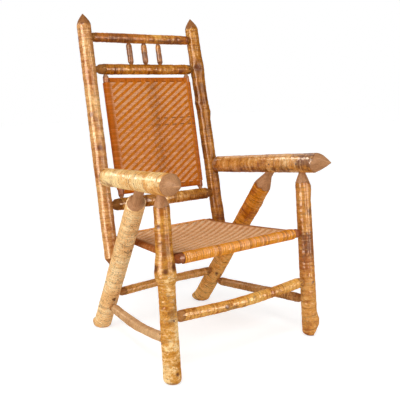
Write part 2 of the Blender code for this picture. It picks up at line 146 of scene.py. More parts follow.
class BirchLogSizes(bpy.types.PropertyGroup):
    """How finely the logs are made and how rough their bark is."""

    ring_step: length("Ring step", "Distance between rings along a log", 0.0024)
    log_sides: IntProperty(name="Log sides", description="Points round a log", default=56, min=8)
    rail_sides: IntProperty(name="Rail sides", description="Points round a rail or a rod", default=40, min=8)
    swell: length("Swell", "Height of the slow waves in the bark", 0.0011)
    lump: length("Lumps", "Height of the small lumps in the bark", 0.0005)
    ridge: length("Ridges", "Height of the ridges that run round a log", 0.0006)
    foot_round: length("Foot rounding", "How far the bark is rounded off at the floor", 0.017)


class BirchWeaveSizes(bpy.types.PropertyGroup):
    """The strands of the two woven panels."""

    back_warp_pitch: length("Back warp pitch", "Distance between upright strands of the back", 0.0065)
    back_weft_pitch: length("Back weft pitch", "Distance between level strands of the back", 0.0044)
    seat_warp_pitch: length("Seat warp pitch", "Distance between front-to-rear strands of the seat", 0.0082)
    seat_weft_pitch: length("Seat weft pitch", "Distance between side-to-side strands of the seat", 0.0046)
    strand_thickness: length("Strand thickness", "Thickness of a strand", 0.0013)
    weave_depth: length("Weave depth", "Height between strands that lie over and under", 0.0016)
    sheet_thickness: length("Sheet thickness", "Thickness that the whole weave has", 0.003)
    back_hollow: length("Back hollow", "Half the space between the two layers of the back", 0.0068)
    seat_hollow: length("Seat hollow", "Half the space between the two layers of the seat", 0.009)
    edge_reach: length("Edge reach", "How far a panel swells in from its wrapped edge", 0.040)
    seat_edge_sag: length("Seat edge sag", "How far the sides of the seat sag", 0.001)
    seat_middle_sag: length("Seat middle sag", "How far the middle of the seat sags further", 0.010)


class BirchColours(bpy.types.PropertyGroup):
    """The colours of bark, wood, cane and iron."""

    bark_pale: colour("Pale bark", "Palest bark of the golden logs", (236, 188, 104))
    bark_gold: colour("Golden bark", "Main colour of the golden logs", (204, 132, 40))
    bark_amber: colour("Amber bark", "Deep colour of the golden logs", (156, 78, 6))
    bark_scar: colour("Scarred bark", "Purple brown of stains and scars", (104, 58, 28))
    bark_line: colour("Bark lines", "Dark lines that run round a log", (98, 46, 18))
    cut_wood: colour("Cut wood", "Whittled ends", (188, 138, 96))
    cut_dark: colour("Dark cut wood", "Grime on whittled ends", (134, 92, 62))
    # By default the light and main cane colours are those of the back's level strands: partly the cane's own
    # colour, partly paled to paint in the pinkish sheen on the twill ribs.
    cane_light: colour("Light cane", "Tops of the strands", (240, 184, 138))
    cane_main: colour("Cane", "Main colour of the strands", (216, 144, 88))
    # The deep colour serves dark strands and flecks, and also the painted shade where strands dip under and
    # between them.
    cane_deep: colour("Deep cane", "Strands that lie under and gaps", (104, 44, 4))
    cane_amber: colour("Amber cane", "Strands wrapped over the rails", (208, 108, 20))
    cane_grime: colour("Cane grime", "Grey brown dirt between the strands", (96, 62, 46))
    iron: colour("Iron", "Nail heads", (58, 46, 42))
    floor: colour("Floor", "Studio floor", (247, 247, 247))


def value_noise(places, seed):
    """Smooth seeded noise from -1 to 1 at an array of points."""
    base = np.floor(places).astype(np.int64)
    part = places - base
    part = part * part * (3 - 2 * part)
    total = np.zeros(places.shape[:-1])
    for corner in range(8):
        step = np.array([corner & 1, corner >> 1 & 1, corner >> 2 & 1])
        mixed = (base + step) @ np.array([73856093, 19349663, 83492791]) + seed * 6542989
        mixed = (mixed ^ (mixed >> 13)) * 1274126177
        mixed = (mixed ^ (mixed >> 16)) & 0xFFFF
        total += (mixed / 32767.5 - 1) * np.prod(np.where(step, part, 1 - part), axis=-1)
    return total


def mesh_object(name, places, quads, triangles, values, look):
    """One object from arrays of points and faces, with its point values and its material."""
    data = bpy.data.meshes.new(name)
    data.vertices.add(len(places))
    data.vertices.foreach_set("co", np.ascontiguousarray(places, dtype=np.float32).ravel())
    corners = np.concatenate([np.ravel(quads), np.ravel(triangles)]).astype(np.int32)
    starts = np.concatenate(
        [np.arange(len(quads)) * 4, len(quads) * 4 + np.arange(len(triangles)) * 3]
    ).astype(np.int32)
    data.loops.add(len(corners))
    data.loops.foreach_set("vertex_index", corners)
    data.polygons.add(len(starts))
    data.polygons.foreach_set("loop_start", starts)
    for label, numbers in values.items():
        kind, field = ("FLOAT_VECTOR", "vector") if numbers.ndim == 2 else ("FLOAT", "value")
        layer = data.attributes.new(name=label, type=kind, domain="POINT")
        layer.data.foreach_set(field, np.ascontiguousarray(numbers, dtype=np.float32).ravel())
    data.update(calc_edges=True)
    if data.validate():
        raise RuntimeError(f"the mesh of {name} had faults")
    data.shade_smooth()
    data.materials.append(look)
    made = bpy.data.objects.new(name, data)
    bpy.context.scene.collection.objects.link(made)
    return made


def seat_piece(piece, slot, *nodes):
    """Lets a piece stand for its CAD nodes on the chair's one body."""
    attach(piece, "root")
    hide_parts(*nodes)


class MeasuredLog:
    """A CAD log read as a centre line with a round outline at each place along it."""

    def __init__(self, node, toward, step):
        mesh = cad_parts[node].data
        places = np.array([vertex.co for vertex in mesh.vertices])
        self.tree = BVHTree.FromPolygons([v.co for v in mesh.vertices], [p.vertices for p in mesh.polygons])
        self.origin = places.mean(0)
        axis = np.linalg.svd(places - self.origin, full_matrices=False)[2][0]
        self.turn_to(axis * math.copysign(1, axis @ np.array(toward)))
        for index, slack in enumerate(FIT_SLACKS):
            self.measure(places, 2 * step, slack)
            middle = self.origin + np.outer(self.stations, self.axis) + self.shift @ self.sides
            held = slice(len(middle) // 8, -len(middle) // 8)
            self.origin = middle[held].mean(0)
            if index == 0:
                axis = np.linalg.svd(middle[held] - self.origin, full_matrices=False)[2][0]
                self.turn_to(axis * math.copysign(1, axis @ self.axis))
        self.measure(places, step, LAST_SLACK)

    def turn_to(self, axis):
        """Sets the axis and the two directions across it."""
        self.axis = axis
        guide = np.array(FRONT) if abs(axis[1]) < 0.75 else np.array(UP)
        first = guide - axis * (guide @ axis)
        first /= np.linalg.norm(first)
        self.sides = np.array([first, np.cross(axis, first)])
        self.stations = np.array([-9.0, 9.0])
        self.shift = np.zeros((2, 2))

    def basis(self, angles):
        """Waves round the log, in columns."""
        waves = [np.ones_like(angles)]
        for order in range(1, HARMONICS + 1):
            waves += [np.cos(order * angles), np.sin(order * angles)]
        return np.stack(waves, axis=-1)

    def measure(self, places, step, slack):
        """Finds the outline at even steps along the axis, without the holes bored in it."""
        along = (places - self.origin) @ self.axis
        self.low, self.high = along.min(), along.max()
        count = max(12, int((self.high - self.low) / step))
        stations = np.linspace(self.low + END_MARGIN, self.high - END_MARGIN, count)
        angles = np.linspace(0, 2 * math.pi, RAYS_ROUND, endpoint=False)
        rays = np.cos(angles)[:, None] * self.sides[0] + np.sin(angles)[:, None] * self.sides[1]
        waves = self.basis(angles)
        found = np.full((len(stations), waves.shape[1]), np.nan)
        shift = self.shift_at(stations)
        for index, station in enumerate(stations):
            centre = self.origin + self.axis * station + shift[index] @ self.sides
            reach = np.full(len(angles), np.nan)
            for turn, ray in enumerate(rays):
                hit = self.tree.ray_cast(Vector(centre + ray * RAY_REACH), Vector(-ray), RAY_REACH)[0]
                if hit is not None:
                    reach[turn] = (np.array(hit) - centre) @ ray
            found[index] = self.fit_ring(reach, waves, slack)
        whole = np.isfinite(found[:, 0])
        found = np.stack([np.interp(stations, stations[whole], column[whole]) for column in found.T], axis=1)
        self.stations = stations
        self.shift = shift + found[:, 1:3]
        self.outline = found
        self.outline[:, 1:3] = 0
        kernel = np.ones(5) / 5
        for column in range(3, found.shape[1]):
            padded = np.pad(self.outline[:, column], 2, mode="edge")
            self.outline[:, column] = np.convolve(padded, kernel, mode="valid")

    def fit_ring(self, reach, waves, slack):
        """Fits waves to one ring and leaves out what looks into a hole."""
        good = np.isfinite(reach)
        if good.sum() < ENOUGH_RAYS:
            return np.nan
        good &= np.nan_to_num(reach) > np.nanmedian(reach) - slack
        for _ in range(3):
            if good.sum() < FEWEST_RAYS:
                return np.nan
            terms = waves if good.sum() > ENOUGH_RAYS else waves[:, :FEW_WAVES]
            answer = np.linalg.lstsq(terms[good], reach[good], rcond=None)[0]
            good = np.isfinite(reach) & (np.nan_to_num(reach) - terms @ answer > -HOLE_DEPTH)
        filled = np.zeros(waves.shape[1])
        filled[: len(answer)] = answer
        return filled

    def shift_at(self, along):
        """How far the centre line stands aside of the straight axis."""
        return np.stack([np.interp(along, self.stations, column) for column in self.shift.T], axis=-1)

    def radius_at(self, along, angles):
        """The radius at places along the log and round it."""
        waves = self.basis(angles)
        total = np.zeros(np.broadcast(along, angles).shape)
        for column in range(waves.shape[-1]):
            total += np.interp(along, self.stations, self.outline[:, column]) * waves[..., column]
        return total

    def mean_at(self, along):
        """The mean radius at places along the log."""
        return np.interp(along, self.stations, self.outline[:, 0])


class BarkLog:
    """One log of the chair with its bark, its knots and stains, and its whittled ends."""

    def __init__(self, node, toward, sides, seed, facets=8, foot=False):
        sizes = bpy.context.scene.birch_logs
        self.node = node
        self.count = sides
        self.seed = seed
        self.facets = facets
        self.foot = foot
        self.sizes = sizes
        self.shape = MeasuredLog(node, toward, sizes.ring_step)
        self.knots = []
        self.stains = []
        self.tones = [(0.0, 0.0), (1.0, 0.0)]
        self.rough = 1.0
        self.lean = 0.0
        self.dome = (0.0, 0.0)
        self.bark_on = 0.0
        self.foot_round = sizes.foot_round
        self.slants = []

    def along_of(self, height):
        """Where along the log its centre line passes a height."""
        shape = self.shape
        return (height - shape.origin[2]) / shape.axis[2]

    def along_share(self, share):
        """Where along the log a share of its length lies."""
        return self.shape.low + (self.shape.high - self.shape.low) * share

    def knot(self, along, facing, width, rise, dark=1.0):
        """A knot or branch scar that faces one way."""
        self.knots.append((along, Vector(facing), width, rise, dark))

    def stain(self, along, facing, reach, width, amount):
        """A purple brown stain, with its reach along the log and its width round it."""
        self.stains.append((along, Vector(facing), reach, width, amount))

    def angle_of(self, facing):
        """The angle round the log of a direction."""
        first, second = np.array(facing) @ self.shape.sides.T
        return math.atan2(second, first)

    def turn_from(self, angles, facing):
        """The turn, up to half a round either way, from a direction."""
        return (angles - self.angle_of(facing) + math.pi) % (2 * math.pi) - math.pi

    def bark_span(self):
        """Where the full bark begins and ends between the worked ends."""
        shape = self.shape
        stations = shape.stations
        mean = shape.outline[:, 0]
        places = [int(len(mean) * share) for share in (0.15, 0.4, 0.6, 0.85)]
        lower = np.median(mean[places[0] : places[1]])
        upper = np.median(mean[places[2] : places[3]])
        middles = [stations[(places[0] + places[1]) // 2], stations[(places[2] + places[3]) // 2]]
        slope = (upper - lower) / (middles[1] - middles[0])
        full = np.nonzero(mean > 0.975 * (lower + slope * (stations - middles[0])))[0]
        return stations[full[0]], stations[full[-1]]

    def cut_radius(self, along, angles, edge, outer, sign):
        """The radius of a whittled end, carried on past its edge into the bark."""
        shape = self.shape
        reach = min(abs(edge - outer), 0.05)
        back = edge + sign * reach * 0.45
        slope = (shape.mean_at(back) - shape.mean_at(edge)) / max(abs(back - edge), 1e-6)
        drop = self.angle_of((0, 0, -1))
        fade = np.clip((outer - along) / (outer - edge), 0, 1)
        if sign > 0:
            along = along + self.lean * fade * (1 + np.cos(angles - drop)) / 2
        past = (edge - along) * sign
        profile = np.where(past > 0, shape.mean_at(edge) - slope * past, shape.mean_at(along))
        dome = self.dome[1 if sign > 0 else 0]
        if dome:
            bulge = np.sqrt(1 - np.clip(-past / dome, 0, 1) ** 2)
            profile = np.where(past > 0, profile, profile + (shape.mean_at(edge) - profile) * bulge)
        chance = np.random.default_rng(self.seed + (1 if sign > 0 else 0))
        nearest = np.full(angles.shape, np.inf)
        lift = math.sqrt(math.cos(math.pi / self.facets))
        for index in range(self.facets):
            turn = 2 * math.pi * (index + chance.uniform(-FACET_TURN, FACET_TURN)) / self.facets
            depth = lift * (1 + chance.uniform(-FACET_SINK, FACET_SINK))
            nearest = np.minimum(nearest, depth / np.maximum(np.cos(angles - turn), LEAST_COSINE))
        return profile * nearest

    def slant(self, along, facing, least):
        """A flat cut that slants across the log through its axis, and leaves a least radius."""
        self.slants.append((along, np.array(facing) / np.linalg.norm(facing), least))

    def slant_radius(self, along, angles):
        """The radius that the slanting cuts leave."""
        shape = self.shape
        left = np.full(along.shape, np.inf)
        for place, facing, least in self.slants:
            aside = np.cos(angles) * (shape.sides[0] @ facing) + np.sin(angles) * (shape.sides[1] @ facing)
            over = (along - place) * (shape.axis @ facing)
            near = np.maximum(-over / np.maximum(aside, SIDEWAYS), least)
            beyond = over > shape.mean_at(place) * np.maximum(-aside, SIDEWAYS)
            far = np.where(beyond, least, np.inf)
            left = np.minimum(left, np.where(aside > SIDEWAYS, near, far))
        return left

    def grid(self):
        """The places along the log and round it of every point, sheared to stand flat on a floor."""
        shape = self.shape
        sizes = self.sizes
        angles = np.linspace(0, 2 * math.pi, self.count, endpoint=False)
        span = shape.high - shape.low
        shares = np.linspace(0, 1, int(span / sizes.ring_step) + 2)
        starts = np.full(self.count, shape.low)
        if self.foot:
            near = shape.stations[0] + 0.03
            radius = shape.radius_at(np.full(self.count, near), angles) - self.foot_round
            aside = np.cos(angles) * shape.sides[0][2] + np.sin(angles) * shape.sides[1][2]
            starts = -(shape.origin[2] + radius * aside) / shape.axis[2]
            fine = np.array([0.15, 0.35, 0.65]) * self.foot_round / span
            shares = np.unique(np.concatenate([shares, fine]))
        along = starts + (shape.high - starts) * shares[:, None]
        return along, np.broadcast_to(angles, along.shape), along - starts

    def relief(self, local):
        """Waves, lumps and ridges of the bark."""
        sizes = self.sizes
        swell = value_noise(local * SWELL_SCALE, self.seed) * sizes.swell
        lump = value_noise(local * LUMP_SCALE, self.seed + 1) * sizes.lump
        ridge = value_noise(local * RIDGE_SCALE, self.seed + 2) * sizes.ridge
        return (swell + lump + ridge) * self.rough

    def build(self, name, slot, look):
        """Makes the log with its point values and puts it in place of its CAD node."""
        shape = self.shape
        along, angles, from_foot = self.grid()
        first, last = self.bark_span()
        bark = shape.radius_at(np.clip(along, first, last), angles)
        local = np.stack([bark * np.cos(angles), bark * np.sin(angles), along - shape.low], axis=-1)
        bark = bark + self.relief(local)
        knot = np.zeros(along.shape)
        for place, facing, width, rise, dark in self.knots:
            round_log = self.turn_from(angles, facing) * shape.mean_at(place)
            apart = np.hypot((along - place) * KNOT_STRETCH, round_log) / width
            hump = np.exp(-((apart / KNOT_HUMP) ** 2))
            bark = bark + rise * (hump - KNOT_SINK * np.exp(-((apart / KNOT_HOLLOW) ** 2)))
            knot = np.maximum(knot, dark * np.exp(-(apart**2) * KNOT_FADE))
        stain = np.zeros(along.shape)
        for place, facing, reach, width, amount in self.stains:
            round_log = self.turn_from(angles, facing) * shape.mean_at(place)
            apart = np.hypot((along - place) / reach, round_log / width)
            stain = np.maximum(stain, amount * np.exp(-(apart**2)))
        share = (along - shape.low) / (shape.high - shape.low)
        tone = np.interp(share, *zip(*self.tones))
        ends = self.cut_radius(along - self.bark_on, angles, last, shape.high, 1)
        ends = np.minimum(ends, self.slant_radius(along, angles))
        if self.foot:
            turned = np.clip(1 - from_foot / self.foot_round, 0, 1)
            bark = bark - self.foot_round * (1 - np.sqrt(1 - turned**2))
            # The foot turns darker towards the floor, in the purple brown of the stains.
            stain = np.maximum(stain, FOOT_DARKENING * np.exp(-((from_foot / FOOT_DARKENING_HEIGHT) ** 2)))
        else:
            ends = np.minimum(ends, self.cut_radius(along, angles, first, shape.low, -1))
        ends = ends + value_noise(local * KNIFE_SCALE, self.seed + 3) * KNIFE_DEPTH
        radius = np.maximum(np.minimum(bark, ends), LEAST_RADIUS)
        shift = shape.shift_at(along)
        aside = np.stack([np.cos(angles), np.sin(angles)], axis=-1) * radius[..., None] + shift
        places = shape.origin + along[..., None] * shape.axis + aside @ shape.sides
        if self.foot:
            places[..., 2] = np.maximum(places[..., 2], 0)
        caps = np.stack([places[0].mean(0), places[-1].mean(0)])
        local[..., 0] = radius * np.cos(angles)
        local[..., 1] = radius * np.sin(angles)
        local[..., 2] += self.seed * 1.37
        cut = bark - ends
        values = {"grain": local, "cut": cut, "knot": knot, "stain": stain, "tone": tone}
        rows, count = along.shape
        for label, numbers in values.items():
            flat = numbers.reshape(rows * count, -1)
            flat = np.concatenate([flat, flat[:1], flat[-1:]])
            values[label] = flat if flat.shape[1] == 3 else flat[:, 0]
        index = np.arange(rows * count).reshape(rows, count)
        after = np.roll(index, -1, axis=1)
        quads = np.stack([index[:-1], after[:-1], after[1:], index[1:]], axis=-1).reshape(-1, 4)
        start = np.stack([np.full(count, rows * count), after[0], index[0]], axis=-1)
        end = np.stack([np.full(count, rows * count + 1), index[-1], after[-1]], axis=-1)
        places = np.concatenate([places.reshape(-1, 3), caps])
        made = mesh_object(name, places, quads, np.concatenate([start, end]), values, look)
        seat_piece(made, slot, self.node)


def facing(degrees):
    """A level direction, counted from straight ahead towards the sitter's left."""
    turn = math.radians(degrees)
    return Vector((math.sin(turn), -math.cos(turn), 0))


def node(tree, kind, values=None, **settings):
    """A shader node with its settings, and with its inputs linked or set."""
    made = tree.nodes.new(kind)
    for label, setting in settings.items():
        setattr(made, label, setting)
    for socket, value in (values or {}).items():
        target = made.inputs[socket]
        if isinstance(value, bpy.types.NodeSocket):
            tree.links.new(value, target)
        else:
            target.default_value = value
    return made


def calc(tree, operation, first, second=0.0):
    """One step of arithmetic."""
    return node(tree, "ShaderNodeMath", {0: first, 1: second}, operation=operation).outputs[0]


def plus(tree, base, value, share):
    """A value with a share of another added."""
    return calc(tree, "ADD", base, calc(tree, "MULTIPLY", value, share))


def swing(tree, base, value, share):
    """A value moved up or down by a share of a noise whose middle is a half."""
    return plus(tree, base, calc(tree, "SUBTRACT", value, 0.5), share)


def blend(tree, factor, first, second):
    """A mix of two colours."""
    return node(tree, "ShaderNodeMix", {0: factor, 6: first, 7: second}, data_type="RGBA").outputs[2]


def mix_value(tree, factor, first, second):
    """A mix of two numbers."""
    return node(tree, "ShaderNodeMix", {0: factor, 2: first, 3: second}, data_type="FLOAT").outputs[0]


def ramp_line(tree, value, start, end):
    """A straight change from one level to another as a value goes from 0 to 1."""
    return node(tree, "ShaderNodeMapRange", {"Value": value, "To Min": start, "To Max": end}).outputs[0]


def ramp(tree, value, low, high, start=0.0, end=1.0):
    """A smooth step between two levels."""
    values = {"Value": value, "From Min": low, "From Max": high, "To Min": start, "To Max": end}
    return node(tree, "ShaderNodeMapRange", values, interpolation_type="SMOOTHSTEP").outputs[0]


def noise(tree, vector, scale, detail=2.0, roughness=0.5, distortion=0.0):
    """Noise on a vector stretched by three scales."""
    moved = node(tree, "ShaderNodeVectorMath", {0: vector, 1: scale}, operation="MULTIPLY").outputs[0]
    values = {"Vector": moved, "Scale": 1.0, "Detail": detail}
    values |= {"Roughness": roughness, "Distortion": distortion}
    return node(tree, "ShaderNodeTexNoise", values).outputs[0]


def new_group(name, inputs, outputs):
    """A shader node group with named sockets, and its two end nodes."""
    tree = bpy.data.node_groups.new(name, "ShaderNodeTree")
    for label, kind, default in inputs:
        socket = tree.interface.new_socket(label, in_out="INPUT", socket_type=f"NodeSocket{kind}")
        if default is not None:
            socket.default_value = default
    for label, kind in outputs:
        tree.interface.new_socket(label, in_out="OUTPUT", socket_type=f"NodeSocket{kind}")
    return tree, tree.nodes.new("NodeGroupInput").outputs, tree.nodes.new("NodeGroupOutput")


def close_group(tree, out, *found):
    """Links what a group of colour, roughness and height has found to its outputs."""
    for (label, _), value in zip(SURFACE, found):
        tree.links.new(value, out.inputs[label])
    return tree


def shared_group(name, maker):
    """A node group that is made the first time it is asked for."""
    return bpy.data.node_groups.get(name) or maker(name)


def make_bark_group(name):
    """Birch bark: gold mottled with amber, fine dark lines round the log, stains, specks and knots."""
    inputs = [
        ("Grain", "Vector", None),
        ("Tone", "Float", 0.0),
        ("Stain", "Float", 0.0),
        ("Knot", "Float", 0.0),
        ("Pale", "Color", None),
        ("Gold", "Color", None),
        ("Amber", "Color", None),
        ("Scar", "Color", None),
        ("Line", "Color", None),
        ("Line Amount", "Float", 0.6),
        ("Stain Amount", "Float", 0.5),
        ("Speck Amount", "Float", 0.5),
    ]
    tree, given, out = new_group(name, inputs, SURFACE)
    grain = given["Grain"]
    patches = noise(tree, grain, (18, 18, 10), 4.0, 0.6)
    mottle = noise(tree, grain, (95, 95, 135), 4.0, 0.68, 0.3)
    cloud = noise(tree, grain, (50, 50, 34), 5.0, 0.62, 0.4)
    bands = noise(tree, grain, (12, 12, 58), 3.0, 0.6)
    lines = noise(tree, grain, (13, 13, 165), 3.0, 0.62, 0.35)
    fine = noise(tree, grain, (60, 60, 430), 2.0, 0.6)
    specks = noise(tree, grain, (210, 210, 270), 2.0, 0.5)
    tone = plus(tree, patches, given["Tone"], 0.28)
    tone = swing(tree, tone, bands, 0.45)
    tone = swing(tree, tone, mottle, 0.9)
    base = blend(tree, ramp(tree, tone, 0.28, 0.54), given["Amber"], given["Gold"])
    base = blend(tree, ramp(tree, tone, 0.54, 0.80), base, given["Pale"])
    stain = plus(tree, cloud, given["Stain"], 0.42)
    stain = swing(tree, stain, mottle, 0.4)
    stain = calc(tree, "MULTIPLY", ramp(tree, stain, 0.58, 0.84), given["Stain Amount"])
    base = blend(tree, stain, base, given["Scar"])
    light = calc(tree, "MULTIPLY", ramp(tree, lines, 0.46, 0.30), ramp(tree, mottle, 0.62, 0.42, 0.0, 0.55))
    base = blend(tree, light, base, given["Pale"])
    dark = calc(tree, "MAXIMUM", ramp(tree, lines, 0.52, 0.64), ramp(tree, fine, 0.56, 0.72, 0.0, 0.6))
    dark = calc(tree, "MULTIPLY", dark, ramp(tree, mottle, 0.38, 0.58, 0.15, 1.0))
    dark = calc(tree, "MULTIPLY", dark, given["Line Amount"])
    base = blend(tree, dark, base, given["Line"])
    dots = calc(tree, "MULTIPLY", ramp(tree, specks, 0.58, 0.70), given["Speck Amount"])
    base = blend(tree, dots, base, given["Line"])
    knot = swing(tree, given["Knot"], mottle, 0.9)
    knot = ramp(tree, knot, 0.30, 0.95)
    base = blend(tree, calc(tree, "MULTIPLY", knot, 0.85), base, given["Scar"])
    base = blend(tree, ramp(tree, given["Knot"], 0.65, 1.0, 0.0, 0.7), base, given["Line"])
    rough = ramp(tree, bands, 0.35, 0.65, 0.28, 0.42)
    rough = plus(tree, rough, stain, 0.14)
    rough = plus(tree, rough, knot, 0.2)
    high = calc(tree, "MULTIPLY", lines, -0.9)
    high = plus(tree, high, bands, 0.3)
    high = plus(tree, high, mottle, 0.4)
    high = plus(tree, high, fine, 0.15)
    high = calc(tree, "SUBTRACT", high, calc(tree, "MULTIPLY", dots, 0.12))
    return close_group(tree, out, base, rough, high)


def make_cut_group(name):
    """Whittled wood: long fibres, knife marks and grime."""
    inputs = [
        ("Grain", "Vector", None),
        ("Wood", "Color", None),
        ("Dark", "Color", None),
        ("Grime", "Float", 0.5),
    ]
    tree, given, out = new_group(name, inputs, SURFACE)
    grain = given["Grain"]
    fibres = noise(tree, grain, (420, 420, 22), 3.0, 0.6)
    grime = noise(tree, grain, (60, 60, 60), 5.0, 0.62)
    pores = noise(tree, grain, (700, 700, 160), 2.0)
    base = blend(tree, ramp(tree, fibres, 0.38, 0.62, 0.0, 0.45), given["Wood"], given["Dark"])
    dirt = calc(tree, "MULTIPLY", ramp(tree, grime, 0.46, 0.70), given["Grime"])
    base = blend(tree, dirt, base, given["Dark"])
    base = blend(tree, ramp(tree, pores, 0.64, 0.74, 0.0, 0.5), base, given["Dark"])
    rough = ramp(tree, grime, 0.3, 0.7, 0.46, 0.62)
    high = plus(tree, calc(tree, "MULTIPLY", fibres, 0.7), grime, 0.3)
    return close_group(tree, out, base, rough, high)


def make_cane_group(name):
    """Split cane: each strand its own shade, fine fibres, painted shade where it dips under and down its
    sides, amber where it wraps.
    """
    inputs = [
        ("Grain", "Vector", None),
        ("Strand", "Float", 0.5),
        ("Lift", "Float", 0.0),
        ("Wear", "Float", 0.0),
        ("Edge", "Float", 0.0),
        ("Variety", "Float", 1.0),
        ("Light", "Color", None),
        ("Cane", "Color", None),
        ("Deep", "Color", None),
        ("Amber", "Color", None),
        ("Grime", "Color", None),
    ]
    tree, given, out = new_group(name, inputs, SURFACE)
    grain = given["Grain"]
    fibres = noise(tree, grain, (40, 1400, 1), 3.0, 0.6)
    blotch = noise(tree, grain, (120, 120, 1), 4.0, 0.65)
    flecks = noise(tree, grain, (330, 520, 1), 2.0, 0.5)
    shade = plus(tree, calc(tree, "MULTIPLY", given["Strand"], 0.32), blotch, 0.9)
    shade = swing(tree, shade, fibres, 0.5)
    base = blend(tree, ramp(tree, shade, 0.30, 0.88), given["Cane"], given["Light"])
    # Painted shade: a strand darkens towards the deep colour where it dips under another and down its sides.
    base = blend(tree, ramp(tree, given["Lift"], 0.1, -0.9, 0.0, 0.92), base, given["Deep"])
    wrapped = blend(tree, ramp(tree, shade, 0.90, 0.30, 0.0, 0.3), given["Amber"], given["Deep"])
    # Painted shade between wrapped strands, down their sides.
    wrapped = blend(tree, ramp(tree, given["Lift"], -0.1, -0.7, 0.0, 0.5), wrapped, given["Deep"])
    darker = calc(tree, "MULTIPLY", ramp(tree, given["Strand"], 0.26, 0.04, 0.0, 0.42), given["Variety"])
    lighter = calc(tree, "MULTIPLY", ramp(tree, given["Strand"], 0.66, 1.0, 0.0, 0.40), given["Variety"])
    wrapped = blend(tree, darker, wrapped, given["Deep"])
    wrapped = blend(tree, lighter, wrapped, given["Light"])
    base = blend(tree, given["Edge"], base, wrapped)
    pits = plus(tree, flecks, given["Wear"], 0.17)
    pits = ramp(tree, pits, 0.56, 0.70, 0.0, 0.7)
    pits = calc(tree, "MULTIPLY", pits, ramp_line(tree, given["Edge"], 1.0, 0.5))
    base = blend(tree, pits, base, given["Deep"])
    worn = swing(tree, given["Wear"], blotch, 0.9)
    worn = ramp(tree, worn, 0.45, 0.95, 0.0, 0.32)
    base = blend(tree, worn, base, given["Grime"])
    rough = ramp(tree, fibres, 0.3, 0.7, 0.34, 0.52)
    return close_group(tree, out, base, rough, fibres)


def point_value(tree, label, output="Fac"):
    """A value stored on the points of a mesh."""
    return node(tree, "ShaderNodeAttribute", attribute_name=label).outputs[output]


def new_material(name):
    """A material with its node tree and its shader."""
    made = bpy.data.materials.new(name)
    made.use_nodes = True
    return made, made.node_tree, made.node_tree.nodes["Principled BSDF"]


def rgba(values, share=1.0):
    """A colour property as a socket value, darkened by a share."""
    return (values[0] * share, values[1] * share, values[2] * share, 1.0)


def picker(shades):
    """Finds a colour by name among a piece's own shades, or else among the chair's colours."""
    own = shades or {}
    colours = bpy.context.scene.birch_colours

    def pick(label):
        return rgba(srgb(*own[label]) if label in own else getattr(colours, label))

    return pick


def wire_varnish(tree, shader, surface, bump, coat, blur):
    """Links colour, roughness, relief and coat to a shader that shines in its varnish alone."""
    base, rough, high = surface
    strength, distance = bump
    relief = node(tree, "ShaderNodeBump", {"Strength": strength, "Distance": distance, "Height": high})
    links = {"Base Color": base, "Roughness": rough, "Normal": relief.outputs[0], "Coat Weight": coat}
    for label, value in links.items():
        tree.links.new(value, shader.inputs[label])
    shader.inputs["Specular IOR Level"].default_value = 0.0
    shader.inputs["Coat Roughness"].default_value = blur
    shader.inputs["Coat IOR"].default_value = VARNISH_IOR


def bark_material(name, shades=None, lines=0.6, stains=0.5, specks=0.5, gloss=0.11):
    """Varnished bark with whittled ends. Shades replace colours of the chair by name."""
    pick = picker(shades)
    made, tree, shader = new_material(name)
    grain = point_value(tree, "grain", "Vector")
    bark_values = {
        "Grain": grain,
        "Tone": point_value(tree, "tone"),
        "Stain": point_value(tree, "stain"),
        "Knot": point_value(tree, "knot"),
        "Pale": pick("bark_pale"),
        "Gold": pick("bark_gold"),
        "Amber": pick("bark_amber"),
        "Scar": pick("bark_scar"),
        "Line": pick("bark_line"),
        "Line Amount": lines,
        "Stain Amount": stains,
        "Speck Amount": specks,
    }
    bark = node(tree, "ShaderNodeGroup", bark_values, node_tree=shared_group("Birch bark", make_bark_group))
    cut_values = {"Grain": grain, "Wood": pick("cut_wood"), "Dark": pick("cut_dark"), "Grime": 0.5}
    cut = node(tree, "ShaderNodeGroup", cut_values, node_tree=shared_group("Whittled wood", make_cut_group))
    depth = point_value(tree, "cut")
    mask = ramp(tree, depth, 0.0, 0.0005)
    base = blend(tree, mask, bark.outputs["Colour"], cut.outputs["Colour"])
    rim = ramp(tree, calc(tree, "ABSOLUTE", calc(tree, "SUBTRACT", depth, 0.0003)), 0.0, 0.0010, 0.55, 0.0)
    base = blend(tree, rim, base, pick("bark_line"))
    rough = mix_value(tree, mask, bark.outputs["Roughness"], cut.outputs["Roughness"])
    high = mix_value(tree, mask, bark.outputs["Height"], cut.outputs["Height"])
    coat = ramp_line(tree, mask, gloss * VARNISH_SHARE, BARE_COAT)
    wire_varnish(tree, shader, (base, rough, high), (0.45, 0.0022), coat, BARK_COAT_BLUR)
    return made


def cane_material(name, shades=None, coat=0.02, variety=0.3):
    """Varnished split cane. The coat and the variety show where strands wrap an edge."""
    pick = picker(shades)
    made, tree, shader = new_material(name)
    values = {
        "Grain": point_value(tree, "grain", "Vector"),
        "Strand": point_value(tree, "strand"),
        "Lift": point_value(tree, "lift"),
        "Wear": point_value(tree, "wear"),
        "Edge": point_value(tree, "edge"),
        "Variety": variety,
        "Light": pick("cane_light"),
        "Cane": pick("cane_main"),
        "Deep": pick("cane_deep"),
        "Amber": pick("cane_amber"),
        "Grime": pick("cane_grime"),
    }
    cane = node(tree, "ShaderNodeGroup", values, node_tree=shared_group("Split cane", make_cane_group))
    surface = [cane.outputs[label] for label, _ in SURFACE]
    weight = ramp(tree, values["Edge"], 0.4, 0.9, 0.004, coat * VARNISH_SHARE)
    wire_varnish(tree, shader, surface, (0.4, 0.0004), weight, CANE_COAT_BLUR)
    return made


